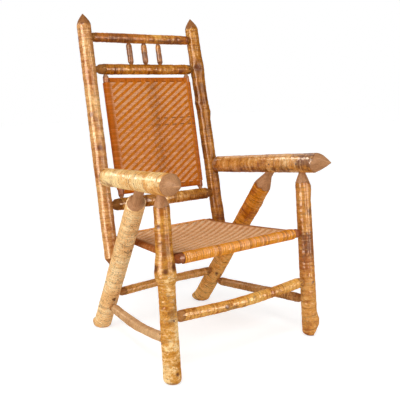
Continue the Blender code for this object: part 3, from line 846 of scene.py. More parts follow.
def iron_material():
    """Old iron with rust in its pores."""
    colours = bpy.context.scene.birch_colours
    made, tree, shader = new_material("nail_iron_worn")
    place = node(tree, "ShaderNodeTexCoord").outputs["Object"]
    rust = noise(tree, place, (420, 420, 420), 4.0, 0.6)
    base = blend(tree, ramp(tree, rust, 0.45, 0.65), rgba(colours.iron), rgba(srgb(96, 56, 34)))
    tree.links.new(base, shader.inputs["Base Color"])
    tree.links.new(ramp(tree, rust, 0.4, 0.7, 0.42, 0.75), shader.inputs["Roughness"])
    bump = node(tree, "ShaderNodeBump", {"Strength": 0.5, "Distance": 0.0003, "Height": rust})
    tree.links.new(bump.outputs[0], shader.inputs["Normal"])
    shader.inputs["Metallic"].default_value = 0.7
    return made


class WovenPanel:
    """A double layer of twill strands wrapped round two side rods and two end pieces."""

    def __init__(self, start, end, right, left, hollow, edge_sag, middle_sag, side_clear):
        sizes = bpy.context.scene.birch_weave
        self.sizes = sizes
        self.corners = [self.meet(rod, piece) for piece in (start, end) for rod in (right, left)]
        right_start, left_start, right_end, left_end = self.corners
        self.across = (left_start - right_start) / np.linalg.norm(left_start - right_start)
        middle = (right_end + left_end - right_start - left_start) / 2
        self.length = np.linalg.norm(middle)
        self.along = middle / self.length
        self.normal = np.cross(self.across, self.along)
        self.widths = (np.linalg.norm(left_start - right_start), np.linalg.norm(left_end - right_end))
        self.half_width = min(self.widths) / 2
        self.hollow = hollow
        self.sags = (edge_sag, middle_sag)
        radii = [self.full_radius(log) for log in (right, start, end)]
        halves = [(radius + WRAP_CLEAR) * WRAP_SWELL for radius in radii]
        self.side_half, self.start_half, self.end_half = halves
        clear = sizes.sheet_thickness + ROW_CLEAR
        self.side_edge = 1 - (radii[0] + side_clear) / self.half_width
        self.row_edges = ((radii[1] + clear) / self.length, 1 - (radii[2] + clear) / self.length)
        self.chance = np.random.default_rng(11)

    def full_radius(self, log):
        """The radius of a rod between its worked ends."""
        return float(np.median(log.outline[:, 0]) * BARK_SWELL)

    def meet(self, rod, piece):
        """Where the axes of two pieces cross."""
        across = np.cross(rod.axis, piece.axis)
        system = np.stack([rod.axis, -piece.axis, across], axis=1)
        along = np.linalg.solve(system, piece.origin - rod.origin)
        return rod.origin + rod.axis * along[0] + across * along[2] / 2

    def half(self, u, v):
        """Half the space between the layers, full at the wrapped edges and thin in the field."""
        reach = self.sizes.edge_reach
        edges = (
            (self.side_half, (1 - np.abs(u)) * self.half_width),
            (self.start_half, v * self.length),
            (self.end_half, (1 - v) * self.length),
        )
        swell = [(edge - self.hollow) * np.maximum(0, 1 - away / reach) for edge, away in edges]
        return self.hollow + np.maximum(np.maximum(swell[0], swell[1]), swell[2])

    def place(self, u, v, height, outward=0.0, onward=0.0):
        """Points over the frame: u across, v along, and a height over its middle plane."""
        right_start, left_start, right_end, left_end = self.corners
        u, v, height = [np.asarray(value, float)[..., None] for value in np.broadcast_arrays(u, v, height)]
        outward = np.asarray(outward, float)[..., None]
        onward = np.asarray(onward, float)[..., None]
        start = right_start + (left_start - right_start) * (u + 1) / 2
        end = right_end + (left_end - right_end) * (u + 1) / 2
        sag = np.sin(math.pi * np.clip(v, 0, 1)) * (self.sags[0] + self.sags[1] * (1 - u * u))
        lift = self.normal * (height - sag)
        return start + (end - start) * v + lift + self.across * outward + self.along * onward

    def spread(self, low, high, pitch_count):
        """Even places for strands, each a little off."""
        step = (high - low) / pitch_count
        jitter = self.chance.uniform(-STRAND_JITTER, STRAND_JITTER, pitch_count)
        return low + step * (np.arange(pitch_count) + 0.5 + jitter)

    def lay_out(self, warp_pitch, weft_pitch):
        """Sets where the strands of both directions lie."""
        width = sum(self.widths) / 2 * self.side_edge
        depth = self.length * (self.row_edges[1] - self.row_edges[0])
        self.warps = self.spread(-self.side_edge, self.side_edge, round(width / warp_pitch))
        self.wefts = self.spread(*self.row_edges, round(depth / weft_pitch))

    def lifts(self, first, second):
        """How strands lie at crossings: 1 where the weft is on top and -1 where the warp is.

        The weft lies over the first warp all along, which makes a pale line there that paints in the
        highlight along the side rod, and under the last.
        """
        over = ((first - second) % TWILL < WEFT_OVER) & (first < len(self.warps) - 1)
        return np.where(over | (first == 0), 1.0, -1.0)

    def weft(self, row):
        """One level strand: its path, its outward directions, its lift and its share of wrapped edge."""
        v = self.wefts[row]
        middle = self.sizes.sheet_thickness / 2
        depth = self.sizes.weave_depth / 2
        gap = (1 + self.side_edge) / 2
        u = np.concatenate([[-1, -gap], self.warps, [gap, 1]])
        over = self.lifts(np.arange(len(self.warps)), row)
        over = np.concatenate([[0, 0], over, [0, 0]])
        # The 0.4 at the first warp tones down the painted highlight line there.
        edge = np.concatenate([[1, 0.9, 0.4], np.zeros(len(self.warps) - 2), [0.4, 0.9, 1]])
        height = self.half(u, v) + middle + over * depth
        turns = np.linspace(0, math.pi, 9)[1:-1]
        reach = self.side_half + middle
        wraps = []
        for sign in (1, -1):
            tall = self.half(sign, v) + middle
            wraps.append(self.place(sign, v, tall * np.cos(turns), sign * reach * np.sin(turns)))
        path = np.concatenate([
            self.place(u, v, height),
            wraps[0],
            self.place(u[::-1], v, -height[::-1]),
            wraps[1][::-1],
        ])
        aside = np.outer(np.sin(turns), self.across)
        round_edge = np.outer(np.cos(turns), self.normal)
        flat = np.tile(self.normal, (len(u), 1))
        outward = np.concatenate([flat, aside + round_edge, -flat, (-aside + round_edge)[::-1]])
        zeros = np.zeros(len(turns))
        lift = np.concatenate([over, zeros, over[::-1], zeros])
        edges = np.concatenate([edge, zeros + 1, edge[::-1], zeros + 1])
        across = np.concatenate([u, zeros + 1, u[::-1], zeros - 1])
        return path, outward, lift, edges, across

    def warp(self, column):
        """One strand that runs along the panel, as weft does for one across it."""
        u = self.warps[column]
        middle = self.sizes.sheet_thickness / 2
        depth = self.sizes.weave_depth / 2
        low, high = self.row_edges
        v = np.concatenate([[0, low / 2], self.wefts, [(1 + high) / 2, 1]])
        over = -self.lifts(column, np.arange(len(self.wefts)))
        over = np.concatenate([[0, 0], over, [0, 0]])
        edge = np.concatenate([[1, 0.8], np.zeros(len(self.wefts)), [0.8, 1]])
        height = self.half(u, v) + middle + over * depth
        turns = np.linspace(0, math.pi, 13)[1:-1]
        end = self.half(u, 1.0) + middle
        start = self.half(u, 0.0) + middle
        level = 0.0 * turns
        reach = np.sin(turns)
        far = self.place(u, 1.0, end * np.cos(turns), level, (self.end_half + middle) * reach)
        near = self.place(u, 0.0, start * np.cos(turns), level, -(self.start_half + middle) * reach)
        path = np.concatenate([
            self.place(u, v, height),
            far,
            self.place(u, v[::-1], -height[::-1]),
            near[::-1],
        ])
        onward = np.outer(np.sin(turns), self.along)
        round_edge = np.outer(np.cos(turns), self.normal)
        flat = np.tile(self.normal, (len(v), 1))
        outward = np.concatenate([flat, onward + round_edge, -flat, (-onward + round_edge)[::-1]])
        zeros = np.zeros(len(turns))
        lift = np.concatenate([over, zeros, over[::-1], zeros])
        edges = np.concatenate([edge, zeros + 1, edge[::-1], zeros + 1])
        share = np.concatenate([v, zeros + 1, v[::-1], zeros])
        return path, outward, lift, edges, share

    def build(self, name, strands, widths, worn, look):
        """Joins strands into one mesh. Worn gives the wear of points from the row and the place in it."""
        thickness = self.sizes.strand_thickness
        outline = np.array([(0, 0.5), (0.46, 0.45), (0.5, -0.5), (-0.5, -0.5), (-0.46, 0.45)])
        sides = len(outline)
        places, quads, values = [], [], {"grain": [], "strand": [], "lift": [], "wear": [], "edge": []}
        total = 0
        for index, (path, outward, lift, edge, share) in enumerate(strands):
            count = len(path)
            tangent = np.roll(path, -1, axis=0) - np.roll(path, 1, axis=0)
            tangent /= np.linalg.norm(tangent, axis=1)[:, None]
            outward = outward - tangent * np.sum(outward * tangent, axis=1)[:, None]
            outward /= np.linalg.norm(outward, axis=1)[:, None]
            aside = np.cross(tangent, outward)
            width = widths(share) * self.chance.uniform(0.93, 1.0)
            wide = outline[:, 0][None, :] * np.broadcast_to(width, count)[:, None]
            tall = outline[:, 1] * thickness
            ring = path[:, None] + aside[:, None] * wide[..., None] + outward[:, None] * tall[None, :, None]
            places.append(ring.reshape(-1, 3))
            run = np.concatenate([[0], np.cumsum(np.linalg.norm(np.diff(path, axis=0), axis=1))])
            grain = np.stack(np.broadcast_arrays(run[:, None], wide, 7.31 * index), axis=-1)
            values["grain"].append(grain.reshape(-1, 3))
            values["strand"].append(np.full(count * sides, self.chance.uniform(0, 1)))
            # The lift falls down each strand's sides; the cane shader paints shade from it there and where
            # the strand dips under.
            values["lift"].append(np.repeat(lift, sides) + np.tile(outline[:, 1] - 0.5, count) * 1.6)
            values["edge"].append(np.repeat(edge, sides))
            values["wear"].append(np.repeat(worn(index, share, path), sides))
            grid = total + np.arange(count * sides).reshape(count, sides)
            turned = np.roll(grid, -1, axis=1)
            onward = np.roll(grid, -1, axis=0)
            both = np.roll(turned, -1, axis=0)
            quads.append(np.stack([grid, turned, both, onward], axis=-1).reshape(-1, 4))
            total += count * sides
        values = {label: np.concatenate(numbers) for label, numbers in values.items()}
        none = np.zeros((0, 3), int)
        return mesh_object(name, np.concatenate(places), np.concatenate(quads), none, values, look)

    def widths_along(self, share):
        """The width of a strand that runs along a panel whose sides close in."""
        start = self.widths[0] * self.side_edge / len(self.warps)
        end = self.widths[1] * self.side_edge / len(self.warps)
        return (start + (end - start) * share) * 0.99

    def widths_across(self, share):
        """The width of a strand that runs across a panel."""
        depth = self.length * (self.row_edges[1] - self.row_edges[0])
        return np.full(np.shape(share), depth / len(self.wefts) * 0.97)


class BIRCH_OT_arms(bpy.types.Operator):
    """Makes the two pointed arm logs"""

    bl_idname = "birch.arms"
    bl_label = "Arms"

    def execute(self, context):
        sides = context.scene.birch_logs.log_sides
        right = BarkLog("arm_right", FRONT, sides, 3, facets=14)
        right.lean = 0.016
        right.dome = (0.03, 0.0)
        right.tones = [(0.0, 0.7), (0.45, 0.9), (0.8, 0.35), (1.0, 0.2)]
        right.stain(right.along_share(0.70), (0.5, -0.3, -0.3), 0.06, 0.03, 0.7)
        right.stain(right.along_share(0.20), (-0.6, -0.3, -0.8), 0.05, 0.03, 0.8)
        # These shades are partly the bark's own colour, partly a painted sheen: lightened and less saturated
        # to stand for the varnish's broad shine.
        shades = {"bark_gold": (222, 158, 76), "bark_amber": (182, 106, 36), "bark_pale": (250, 216, 152)}
        shades |= {"bark_line": (132, 70, 26), "bark_scar": (138, 76, 34)}
        look = bark_material("bark_arm_right", shades, lines=0.8, stains=0.75, specks=0.9, gloss=0.26)
        right.build("arm_right_bark", "birch_bark", look)
        left = BarkLog("arm_left", FRONT, sides, 5, facets=14)
        left.lean = 0.016
        left.dome = (0.03, 0.0)
        left.tones = [(0.0, -0.2), (0.5, 0.1), (1.0, -0.1)]
        left.stain(left.along_share(0.86), (-0.6, -0.6, 0.4), 0.07, 0.05, 0.8)
        # Darker along the arm's underside, over much of its length.
        left.stain(left.along_share(0.55), (-0.8, -0.3, -0.7), 0.20, 0.02, 0.6)
        # These shades are partly the bark's own colour, partly a painted sheen: lightened and less saturated
        # to stand for the varnish's broad shine.
        shades = {"bark_gold": (208, 142, 64), "bark_amber": (150, 82, 22), "bark_pale": (248, 208, 144)}
        look = bark_material("bark_arm_left", shades, lines=0.55, stains=0.8, gloss=0.34)
        left.build("arm_left_bark", "birch_bark", look)
        return {"FINISHED"}


class BIRCH_OT_front_legs(bpy.types.Operator):
    """Makes the two front legs"""

    bl_idname = "birch.front_legs"
    bl_label = "Front legs"

    def execute(self, context):
        sides = context.scene.birch_logs.log_sides
        right = BarkLog("front_leg_right", UP, sides, 7, facets=12, foot=True)
        right.tones = [(0.0, 0.3), (0.15, 0.55), (0.3, 0.6), (0.5, 0.1), (0.75, -0.15), (1.0, -0.1)]
        right.knot(right.along_of(0.510), facing(-65), 0.010, 0.0012)
        right.knot(right.along_of(0.378), facing(-105), 0.016, 0.008)
        right.knot(right.along_of(0.370), facing(-35), 0.012, 0.003)
        right.knot(right.along_of(0.380), facing(25), 0.016, 0.007)
        right.knot(right.along_of(0.035), facing(0), 0.008, 0.001)
        right.stain(right.along_of(0.44), facing(-30), 0.05, 0.02, 0.7)
        right.stain(right.along_of(0.25), facing(0), 0.06, 0.02, 0.6)
        right.stain(right.along_of(0.58), facing(-10), 0.03, 0.03, 0.6)
        shades = {"bark_gold": (202, 138, 50), "bark_amber": (156, 84, 8), "bark_pale": (248, 212, 152)}
        look = bark_material("bark_front_leg_right", shades, lines=0.45, stains=0.6, specks=0.7, gloss=0.085)
        right.build("front_leg_right_bark", "birch_bark", look)
        left = BarkLog("front_leg_left", UP, sides, 9, facets=12, foot=True)
        left.tones = [(0.0, 0.2), (0.3, 0.0), (0.55, -0.4), (0.8, -0.2), (1.0, -0.3)]
        left.knot(left.along_of(0.559), facing(40), 0.008, 0.004)
        left.knot(left.along_of(0.050), facing(51), 0.012, 0.007)
        left.slant(left.along_of(-0.009), facing(51) * 0.866 - UP * 0.5, 0.004)
        left.knot(left.along_of(0.206), facing(-10), 0.005, 0.0)
        left.stain(left.along_of(0.35), facing(-30), 0.05, 0.03, 0.8)
        left.stain(left.along_of(0.47), facing(0), 0.03, 0.02, 0.6)
        # These shades are partly the bark's own colour, partly a painted sheen: lightened and less saturated
        # to stand for the varnish's broad shine.
        shades = {"bark_gold": (206, 140, 60), "bark_amber": (164, 92, 30), "bark_pale": (236, 192, 124)}
        look = bark_material("bark_front_leg_left", shades, stains=0.85, gloss=0.13)
        left.build("front_leg_left_bark", "birch_bark", look)
        return {"FINISHED"}


class BIRCH_OT_rear_legs(bpy.types.Operator):
    """Makes the two raking rear legs"""

    bl_idname = "birch.rear_legs"
    bl_label = "Rear legs"

    def execute(self, context):
        sides = context.scene.birch_logs.log_sides
        right = BarkLog("rear_leg_right", UP, sides, 13, facets=24, foot=True)
        right.foot_round = 0.010
        right.bark_on = 0.03
        right.slant(right.bark_span()[1] + 0.014, facing(-30) * 0.8 + UP * 0.7, 0.017)
        right.tones = [(0.0, 0.35), (0.5, 0.45), (1.0, 0.3)]
        right.knot(right.along_of(0.163), facing(-8), 0.010, 0.002)
        right.knot(right.along_of(0.294), facing(-60), 0.009, 0.002, 0.5)
        right.stain(right.along_of(0.40), facing(20), 0.08, 0.02, 0.35)
        shades = {"bark_gold": (234, 182, 118), "bark_amber": (186, 120, 58), "bark_pale": (250, 218, 164)}
        look = bark_material("bark_rear_leg_right", shades, lines=0.55, stains=0.9, specks=1.0)
        right.build("rear_leg_right_bark", "birch_bark", look)
        left = BarkLog("rear_leg_left", UP, sides, 17, facets=12, foot=True)
        left.foot_round = 0.010
        left.tones = [(0.0, 0.9), (0.4, 0.65), (0.65, 0.0), (1.0, -0.1)]
        left.knot(left.along_of(0.479), facing(40), 0.009, 0.004)
        left.knot(left.along_of(0.158), facing(-30), 0.010, 0.0)
        shades = {"bark_gold": (216, 134, 26), "bark_amber": (168, 84, 2), "bark_pale": (242, 182, 98)}
        look = bark_material("bark_rear_leg_left", shades, lines=0.8, stains=0.6, gloss=0.14)
        left.build("rear_leg_left_bark", "birch_bark", look)
        return {"FINISHED"}


class BIRCH_OT_back_posts(bpy.types.Operator):
    """Makes the two pointed back posts"""

    bl_idname = "birch.back_posts"
    bl_label = "Back posts"

    def execute(self, context):
        sides = context.scene.birch_logs.log_sides
        right = BarkLog("back_post_right", UP, sides, 19, facets=9)
        right.tones = [(0.0, 0.1), (0.4, 0.15), (0.7, 0.1), (0.85, -0.2), (1.0, -0.3)]
        right.knot(right.along_of(0.825), facing(-55), 0.012, 0.002)
        right.knot(right.along_of(0.705), facing(-19), 0.013, 0.003)
        right.stain(right.along_of(0.80), facing(-10), 0.05, 0.02, 0.4)
        right.stain(right.along_of(0.70), facing(-50), 0.03, 0.03, 0.3)
        # These bark shades are partly the post's own colour, partly a painted sheen: lightened and less
        # saturated to stand for the varnish's broad shine.
        shades = {"cut_wood": (166, 110, 64), "cut_dark": (104, 62, 34), "bark_gold": (202, 142, 80)}
        shades |= {"bark_amber": (158, 88, 34), "bark_pale": (238, 194, 126)}
        look = bark_material("bark_back_post_right", shades, stains=0.7, gloss=0.095)
        right.build("back_post_right_bark", "birch_bark", look)
        left = BarkLog("back_post_left", UP, sides, 23, facets=9)
        left.tones = [(0.0, -0.2), (0.5, 0.1), (0.8, -0.1), (1.0, 0.2)]
        left.knot(left.along_of(0.990), facing(-30), 0.024, 0.008)
        left.knot(left.along_of(0.851), facing(-100), 0.009, 0.004)
        left.stain(left.along_of(0.90), facing(-20), 0.06, 0.02, 0.7)
        left.stain(left.along_of(0.76), facing(-30), 0.05, 0.02, 0.6)
        shades = dict(shades, bark_gold=(174, 106, 24), bark_amber=(116, 58, 2), bark_pale=(218, 156, 74))
        look = bark_material("bark_back_post_left", shades, lines=0.85, stains=0.8, gloss=0.07)
        left.build("back_post_left_bark", "birch_bark", look)
        return {"FINISHED"}


class BIRCH_OT_back_rails(bpy.types.Operator):
    """Makes the crest rail and the two back rails"""

    bl_idname = "birch.back_rails"
    bl_label = "Back rails"

    def execute(self, context):
        sides = context.scene.birch_logs.rail_sides
        cuts = {"cut_wood": (162, 108, 54), "cut_dark": (106, 66, 28)}
        crest = BarkLog("crest_rail", ACROSS, sides, 29)
        crest.dome = (0.016, 0.016)
        crest.tones = [(0.0, -0.4), (0.3, -0.1), (0.45, 0.3), (0.7, 0.2), (1.0, -0.4)]
        crest.stain(crest.along_share(0.25), (-0.3, -1, -0.6), 0.12, 0.02, 0.7)
        crest.stain(crest.along_share(0.75), (-0.3, -1, -0.6), 0.12, 0.02, 0.7)
        crest.knot(crest.along_share(0.80), (-0.3, -1, 0.3), 0.012, 0.003, 0.8)
        crest.knot(crest.along_share(0.26), (-0.3, -1, 0.2), 0.012, 0.002, 0.6)
        shades = dict(cuts, bark_gold=(192, 112, 34), bark_amber=(134, 66, 22), bark_pale=(242, 180, 84))
        look = bark_material("bark_crest_rail", shades, lines=0.7, stains=0.8)
        crest.build("crest_rail_bark", "rail_bark", look)
        middle = BarkLog("middle_back_rail", ACROSS, sides, 31)
        middle.dome = (0.018, 0.018)
        middle.tones = [(0.0, -0.3), (0.3, 0.1), (0.6, -0.1), (1.0, 0.1)]
        shades = dict(cuts, bark_gold=(180, 106, 18), bark_amber=(118, 56, 2), bark_pale=(226, 158, 60))
        shades["bark_line"] = (70, 36, 10)
        look = bark_material("bark_middle_rail", shades, lines=0.9, stains=0.7)
        middle.build("middle_back_rail_bark", "rail_bark", look)
        lower = BarkLog("lower_back_rail", ACROSS, sides, 37)
        lower.dome = (0.018, 0.018)
        shades = dict(cuts, bark_gold=(182, 118, 36), bark_amber=(108, 56, 4), bark_pale=(242, 190, 110))
        look = bark_material("bark_lower_rail", shades, lines=1.0, stains=0.7, gloss=0.16)
        lower.build("lower_back_rail_bark", "rail_bark", look)
        return {"FINISHED"}


class BIRCH_OT_spindles(bpy.types.Operator):
    """Makes the three short spindles under the crest rail"""

    bl_idname = "birch.spindles"
    bl_label = "Spindles"

    def execute(self, context):
        shades = {"bark_gold": (188, 118, 46), "bark_amber": (130, 74, 34), "cut_wood": (150, 96, 58)}
        look = bark_material("bark_spindle", shades, lines=0.5, stains=0.9)
        for index, place in enumerate(("right", "centre", "left")):
            spindle = BarkLog(f"spindle_{place}", UP, context.scene.birch_logs.rail_sides, 41 + index)
            spindle.tones = [(0.0, 0.1), (0.5, -0.5), (1.0, 0.2)]
            spindle.stain(spindle.along_share(0.5), facing(-20 - 30 * index), 0.02, 0.012, 0.8)
            spindle.build(f"spindle_{place}_bark", "rod_wood", look)
        return {"FINISHED"}


class BIRCH_OT_weave_rods(bpy.types.Operator):
    """Makes the rods and bars that the weave is wrapped on"""

    bl_idname = "birch.weave_rods"
    bl_label = "Weave rods"

    def execute(self, context):
        shades = {"bark_gold": (172, 98, 50), "bark_amber": (138, 70, 32), "bark_pale": (204, 138, 84)}
        look = bark_material("peeled_rod", shades, lines=0.25, stains=0.5, specks=0.3)
        rods = {
            "back_rod_right": UP,
            "back_rod_left": UP,
            "back_bar_bottom": ACROSS,
            "back_bar_top": ACROSS,
            "seat_rod_right": REAR,
            "seat_rod_left": REAR,
        }
        for index, (name, toward) in enumerate(rods.items()):
            rod = BarkLog(name, toward, context.scene.birch_logs.rail_sides // 2, 47 + index)
            rod.rough = 0.3
            rod.build(f"{name}_wood", "rod_wood", look)
        return {"FINISHED"}


class BIRCH_OT_seat_rails(bpy.types.Operator):
    """Makes the front and rear rails of the seat"""

    bl_idname = "birch.seat_rails"
    bl_label = "Seat rails"

    def execute(self, context):
        shades = {"bark_gold": (156, 88, 48), "bark_amber": (122, 62, 32), "bark_pale": (178, 110, 70)}
        shades |= {"cut_wood": (158, 86, 44), "cut_dark": (110, 52, 26)}
        look = bark_material("bark_seat_rail", shades, lines=0.4, stains=0.8)
        for index, name in enumerate(("seat_front_rail", "seat_rear_rail")):
            rail = BarkLog(name, ACROSS, context.scene.birch_logs.rail_sides, 59 + index)
            rail.rough = 0.4
            rail.build(f"{name}_bark", "rail_bark", look)
        return {"FINISHED"}


class BIRCH_OT_stretchers(bpy.types.Operator):
    """Makes the four stretchers near the floor"""

    bl_idname = "birch.stretchers"
    bl_label = "Stretchers"

    def execute(self, context):
        sides = context.scene.birch_logs.rail_sides
        cuts = {"cut_wood": (190, 136, 80), "cut_dark": (146, 94, 52)}
        front = BarkLog("front_stretcher", ACROSS, sides, 61)
        front.dome = (0.02, 0.02)
        front.tones = [(0.0, 0.0), (0.5, 0.3), (1.0, 0.1)]
        front.knot(front.along_share(0.36), (-0.4, -1, 0.2), 0.010, 0.002)
        front.knot(front.along_share(0.55), (-0.4, -1, 0.6), 0.007, 0.001, 0.7)
        front.stain(front.along_share(0.38), (-0.4, -1, -0.4), 0.05, 0.02, 0.7)
        shades = dict(cuts, bark_gold=(222, 158, 70))
        look = bark_material("bark_front_stretcher", shades, stains=0.6, gloss=0.155)
        front.build("front_stretcher_bark", "rail_bark", look)
        rear = BarkLog("rear_stretcher", ACROSS, sides, 67)
        rear.dome = (0.02, 0.02)
        shades = dict(cuts, bark_gold=(220, 160, 84), bark_amber=(180, 120, 52), bark_pale=(240, 192, 120))
        look = bark_material("bark_rear_stretcher", shades, stains=0.6)
        rear.build("rear_stretcher_bark", "rail_bark", look)
        near = dict(cuts, bark_gold=(202, 158, 110), bark_amber=(176, 128, 84), bark_pale=(226, 186, 136))
        far = dict(cuts, bark_gold=(196, 142, 82), bark_amber=(150, 98, 48), bark_pale=(228, 184, 124))
        looks = (("right", near, 0.22, 0.3), ("left", far, 0.6, 0.7))
        for index, (place, shades, lines, stains) in enumerate(looks):
            side = BarkLog(f"side_stretcher_{place}", REAR, sides, 71 + index)
            side.dome = (0.02, 0.02)
            name = f"bark_side_stretcher_{place}"
            look = bark_material(name, shades, lines=lines, stains=stains, gloss=0.055)
            side.build(f"side_stretcher_{place}_bark", "rail_bark", look)
        return {"FINISHED"}


class BIRCH_OT_back_weave(bpy.types.Operator):
    """Weaves the back panel"""

    bl_idname = "birch.back_weave"
    bl_label = "Back weave"

    def execute(self, context):
        sizes = context.scene.birch_weave
        step = context.scene.birch_logs.ring_step * 2
        pieces = [MeasuredLog(name, ACROSS, step) for name in ("back_bar_bottom", "back_bar_top")]
        pieces += [MeasuredLog(name, UP, step) for name in ("back_rod_right", "back_rod_left")]
        panel = WovenPanel(*pieces, sizes.back_hollow, 0.0, 0.0, BACK_SIDE_CLEAR)
        panel.lay_out(sizes.back_warp_pitch, sizes.back_weft_pitch)

        def worn_column(index, share, path):
            column = np.exp(-(((path[:, 0] - 0.012) / 0.034) ** 2))
            return column * (0.60 + 0.20 * value_noise(path * 70, 5))

        def worn_row(index, share, path):
            high = index / len(panel.wefts)
            split = any(abs(high - row) < CRACK_HALF for row in CRACKED_ROWS)
            cracked = np.where((share > 0.05) & split, CRACK_WEAR, 0.0)
            return np.maximum(worn_column(index, share, path), cracked)

        warps = [panel.warp(column) for column in range(len(panel.warps))]
        wefts = [panel.weft(row) for row in range(len(panel.wefts))]
        look = cane_material("cane_back_warp", {"cane_light": (216, 126, 30), "cane_main": (192, 100, 20)})
        made = panel.build("back_weave_warp", warps, panel.widths_along, worn_column, look)
        seat_piece(made, "woven_cane", "back_weave")
        # The level strands keep the paler default cane colours: partly the cane's own colour, partly a
        # painted sheen on the ribs.
        look = cane_material("cane_back_weft")
        made = panel.build("back_weave_weft", wefts, panel.widths_across, worn_row, look)
        seat_piece(made, "woven_cane", "back_weave")
        return {"FINISHED"}


class BIRCH_OT_seat_weave(bpy.types.Operator):
    """Weaves the seat"""

    bl_idname = "birch.seat_weave"
    bl_label = "Seat weave"

    def execute(self, context):
        sizes = context.scene.birch_weave
        step = context.scene.birch_logs.ring_step * 2
        pieces = [MeasuredLog(name, ACROSS, step) for name in ("seat_front_rail", "seat_rear_rail")]
        pieces += [MeasuredLog(name, REAR, step) for name in ("seat_rod_right", "seat_rod_left")]
        sags = (sizes.seat_edge_sag, sizes.seat_middle_sag)
        panel = WovenPanel(*pieces, sizes.seat_hollow, *sags, SEAT_SIDE_CLEAR)
        panel.lay_out(sizes.seat_warp_pitch, sizes.seat_weft_pitch)

        def worn(index, share, path):
            return 0.16 + 0.14 * value_noise(path * 40, 8)

        warps = [panel.warp(column) for column in range(len(panel.warps))]
        wefts = [panel.weft(row) for row in range(len(panel.wefts))]
        shades = {"cane_light": (236, 178, 124), "cane_main": (214, 146, 84), "cane_amber": (240, 153, 6)}
        shades["cane_deep"] = (128, 42, 8)
        look = cane_material("cane_seat_warp", shades, 0.24, 0.9)
        made = panel.build("seat_weave_warp", warps, panel.widths_along, worn, look)
        seat_piece(made, "woven_cane", "seat_weave")
        # The level strands of the seat are paler: partly the cane's own colour, partly a painted sheen on
        # the ribs.
        shades = {"cane_light": (252, 214, 172), "cane_main": (236, 182, 132), "cane_amber": (176, 104, 50)}
        look = cane_material("cane_seat_weft", shades)
        made = panel.build("seat_weave_weft", wefts, panel.widths_across, worn, look)
        seat_piece(made, "woven_cane", "seat_weave")
        return {"FINISHED"}


class BIRCH_OT_nails(bpy.types.Operator):
    """Makes the domed heads and shanks of the nails"""

    bl_idname = "birch.nails"
    bl_label = "Nails"

    def execute(self, context):
        names = sorted(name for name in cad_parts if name.startswith("nail_"))
        if not names:
            raise RuntimeError("the frame has no nails")
        places, quads, triangles = [], [], []
        sides = NAIL_SIDES
        total = 0
        for name in names:
            points = np.array([vertex.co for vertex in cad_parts[name].data.vertices])
            middle = points.mean(0)
            axis = np.linalg.svd(points - middle, full_matrices=False)[2][0]
            along = (points - middle) @ axis
            across = np.linalg.norm(points - middle - np.outer(along, axis), axis=1)
            if along[np.argmax(across)] < 0:
                axis, along = -axis, -along
            head = across.max()
            shank = across.min()
            tip, top = along.min(), along.max()
            neck = top - NAIL_HEAD
            rings = [(tip, shank * 0.3), (tip + NAIL_POINT, shank), (neck, shank), (neck, head * 0.96)]
            rings += [(neck + 0.0005, head), (neck + 0.0009, head * 0.82), (top, head * 0.45)]
            first = np.cross(axis, (0.31, 0.52, 0.79))
            first /= np.linalg.norm(first)
            second = np.cross(axis, first)
            turns = np.linspace(0, 2 * math.pi, sides, endpoint=False)
            level = np.cos(turns)[:, None] * first + np.sin(turns)[:, None] * second
            rows = [middle + axis * place + level * radius for place, radius in rings]
            ends = [middle + axis * tip, middle + axis * (top + 0.0001)]
            places += rows + [np.array(ends)]
            grid = total + np.arange(len(rows) * sides).reshape(len(rows), sides)
            after = np.roll(grid, -1, axis=1)
            quads.append(np.stack([grid[:-1], after[:-1], after[1:], grid[1:]], axis=-1).reshape(-1, 4))
            low = total + len(rows) * sides
            triangles.append(np.stack([np.full(sides, low), after[0], grid[0]], axis=-1))
            triangles.append(np.stack([np.full(sides, low + 1), grid[-1], after[-1]], axis=-1))
            total = low + 2
        made = mesh_object(
            "nails",
            np.concatenate(places),
            np.concatenate(quads),
            np.concatenate(triangles),
            {},
            iron_material(),
        )
        seat_piece(made, "nail_iron", *names)
        return {"FINISHED"}


def power(name, description, default):
    """A strength property of a lamp."""
    return FloatProperty(name=name, description=description, default=default, min=0)


class BirchStage(bpy.types.PropertyGroup):
    """The camera and the lights."""

    camera_place: FloatVectorProperty(
        name="Camera place",
        description="Where the camera stands",
        default=(-1.529, -1.9591, 1.008),
        subtype="TRANSLATION",
        unit="LENGTH",
    )
    camera_azimuth: FloatProperty(
        name="Camera azimuth",
        description="Turn of the camera round the chair",
        default=math.radians(-38.47),
        subtype="ANGLE",
    )
    camera_elevation: FloatProperty(
        name="Camera elevation",
        description="Height of the camera over the horizon",
        default=math.radians(11.23),
        subtype="ANGLE",
    )
    camera_lens: FloatProperty(
        name="Camera lens", description="Focal length on a 36 mm frame", default=61.4, unit="CAMERA"
    )
    top_power: power("Top light", "Strength of the broad light from above", 1.0)
    back_power: power("Back light", "Strength of the broad light from behind", 0.5)
    left_power: power("Left light", "Power of the tall light on the left", 25)
    left_shine: power("Left shine", "Power of the left light in the varnish", 330)
    front_power: power("Front light", "Power of the tall light in front", 8)
    front_shine: power("Front shine", "Power of the front light in the varnish", 78)
    right_power: power("Right light", "Power of the tall light on the right", 15)
    right_shine: power("Right shine", "Power of the right light in the varnish", 130)
    rear_power: power("Rear light", "Power of the tall light behind the chair", 6)
    rear_shine: power("Rear shine", "Power of the rear light in the varnish", 220)
    upper_power: power("Upper light", "Power of the light above on the left", 8)
    upper_shine: power("Upper shine", "Power of the upper light in the varnish", 120)
    sky_level: power("Sky", "Strength of the white surroundings", 0.27)


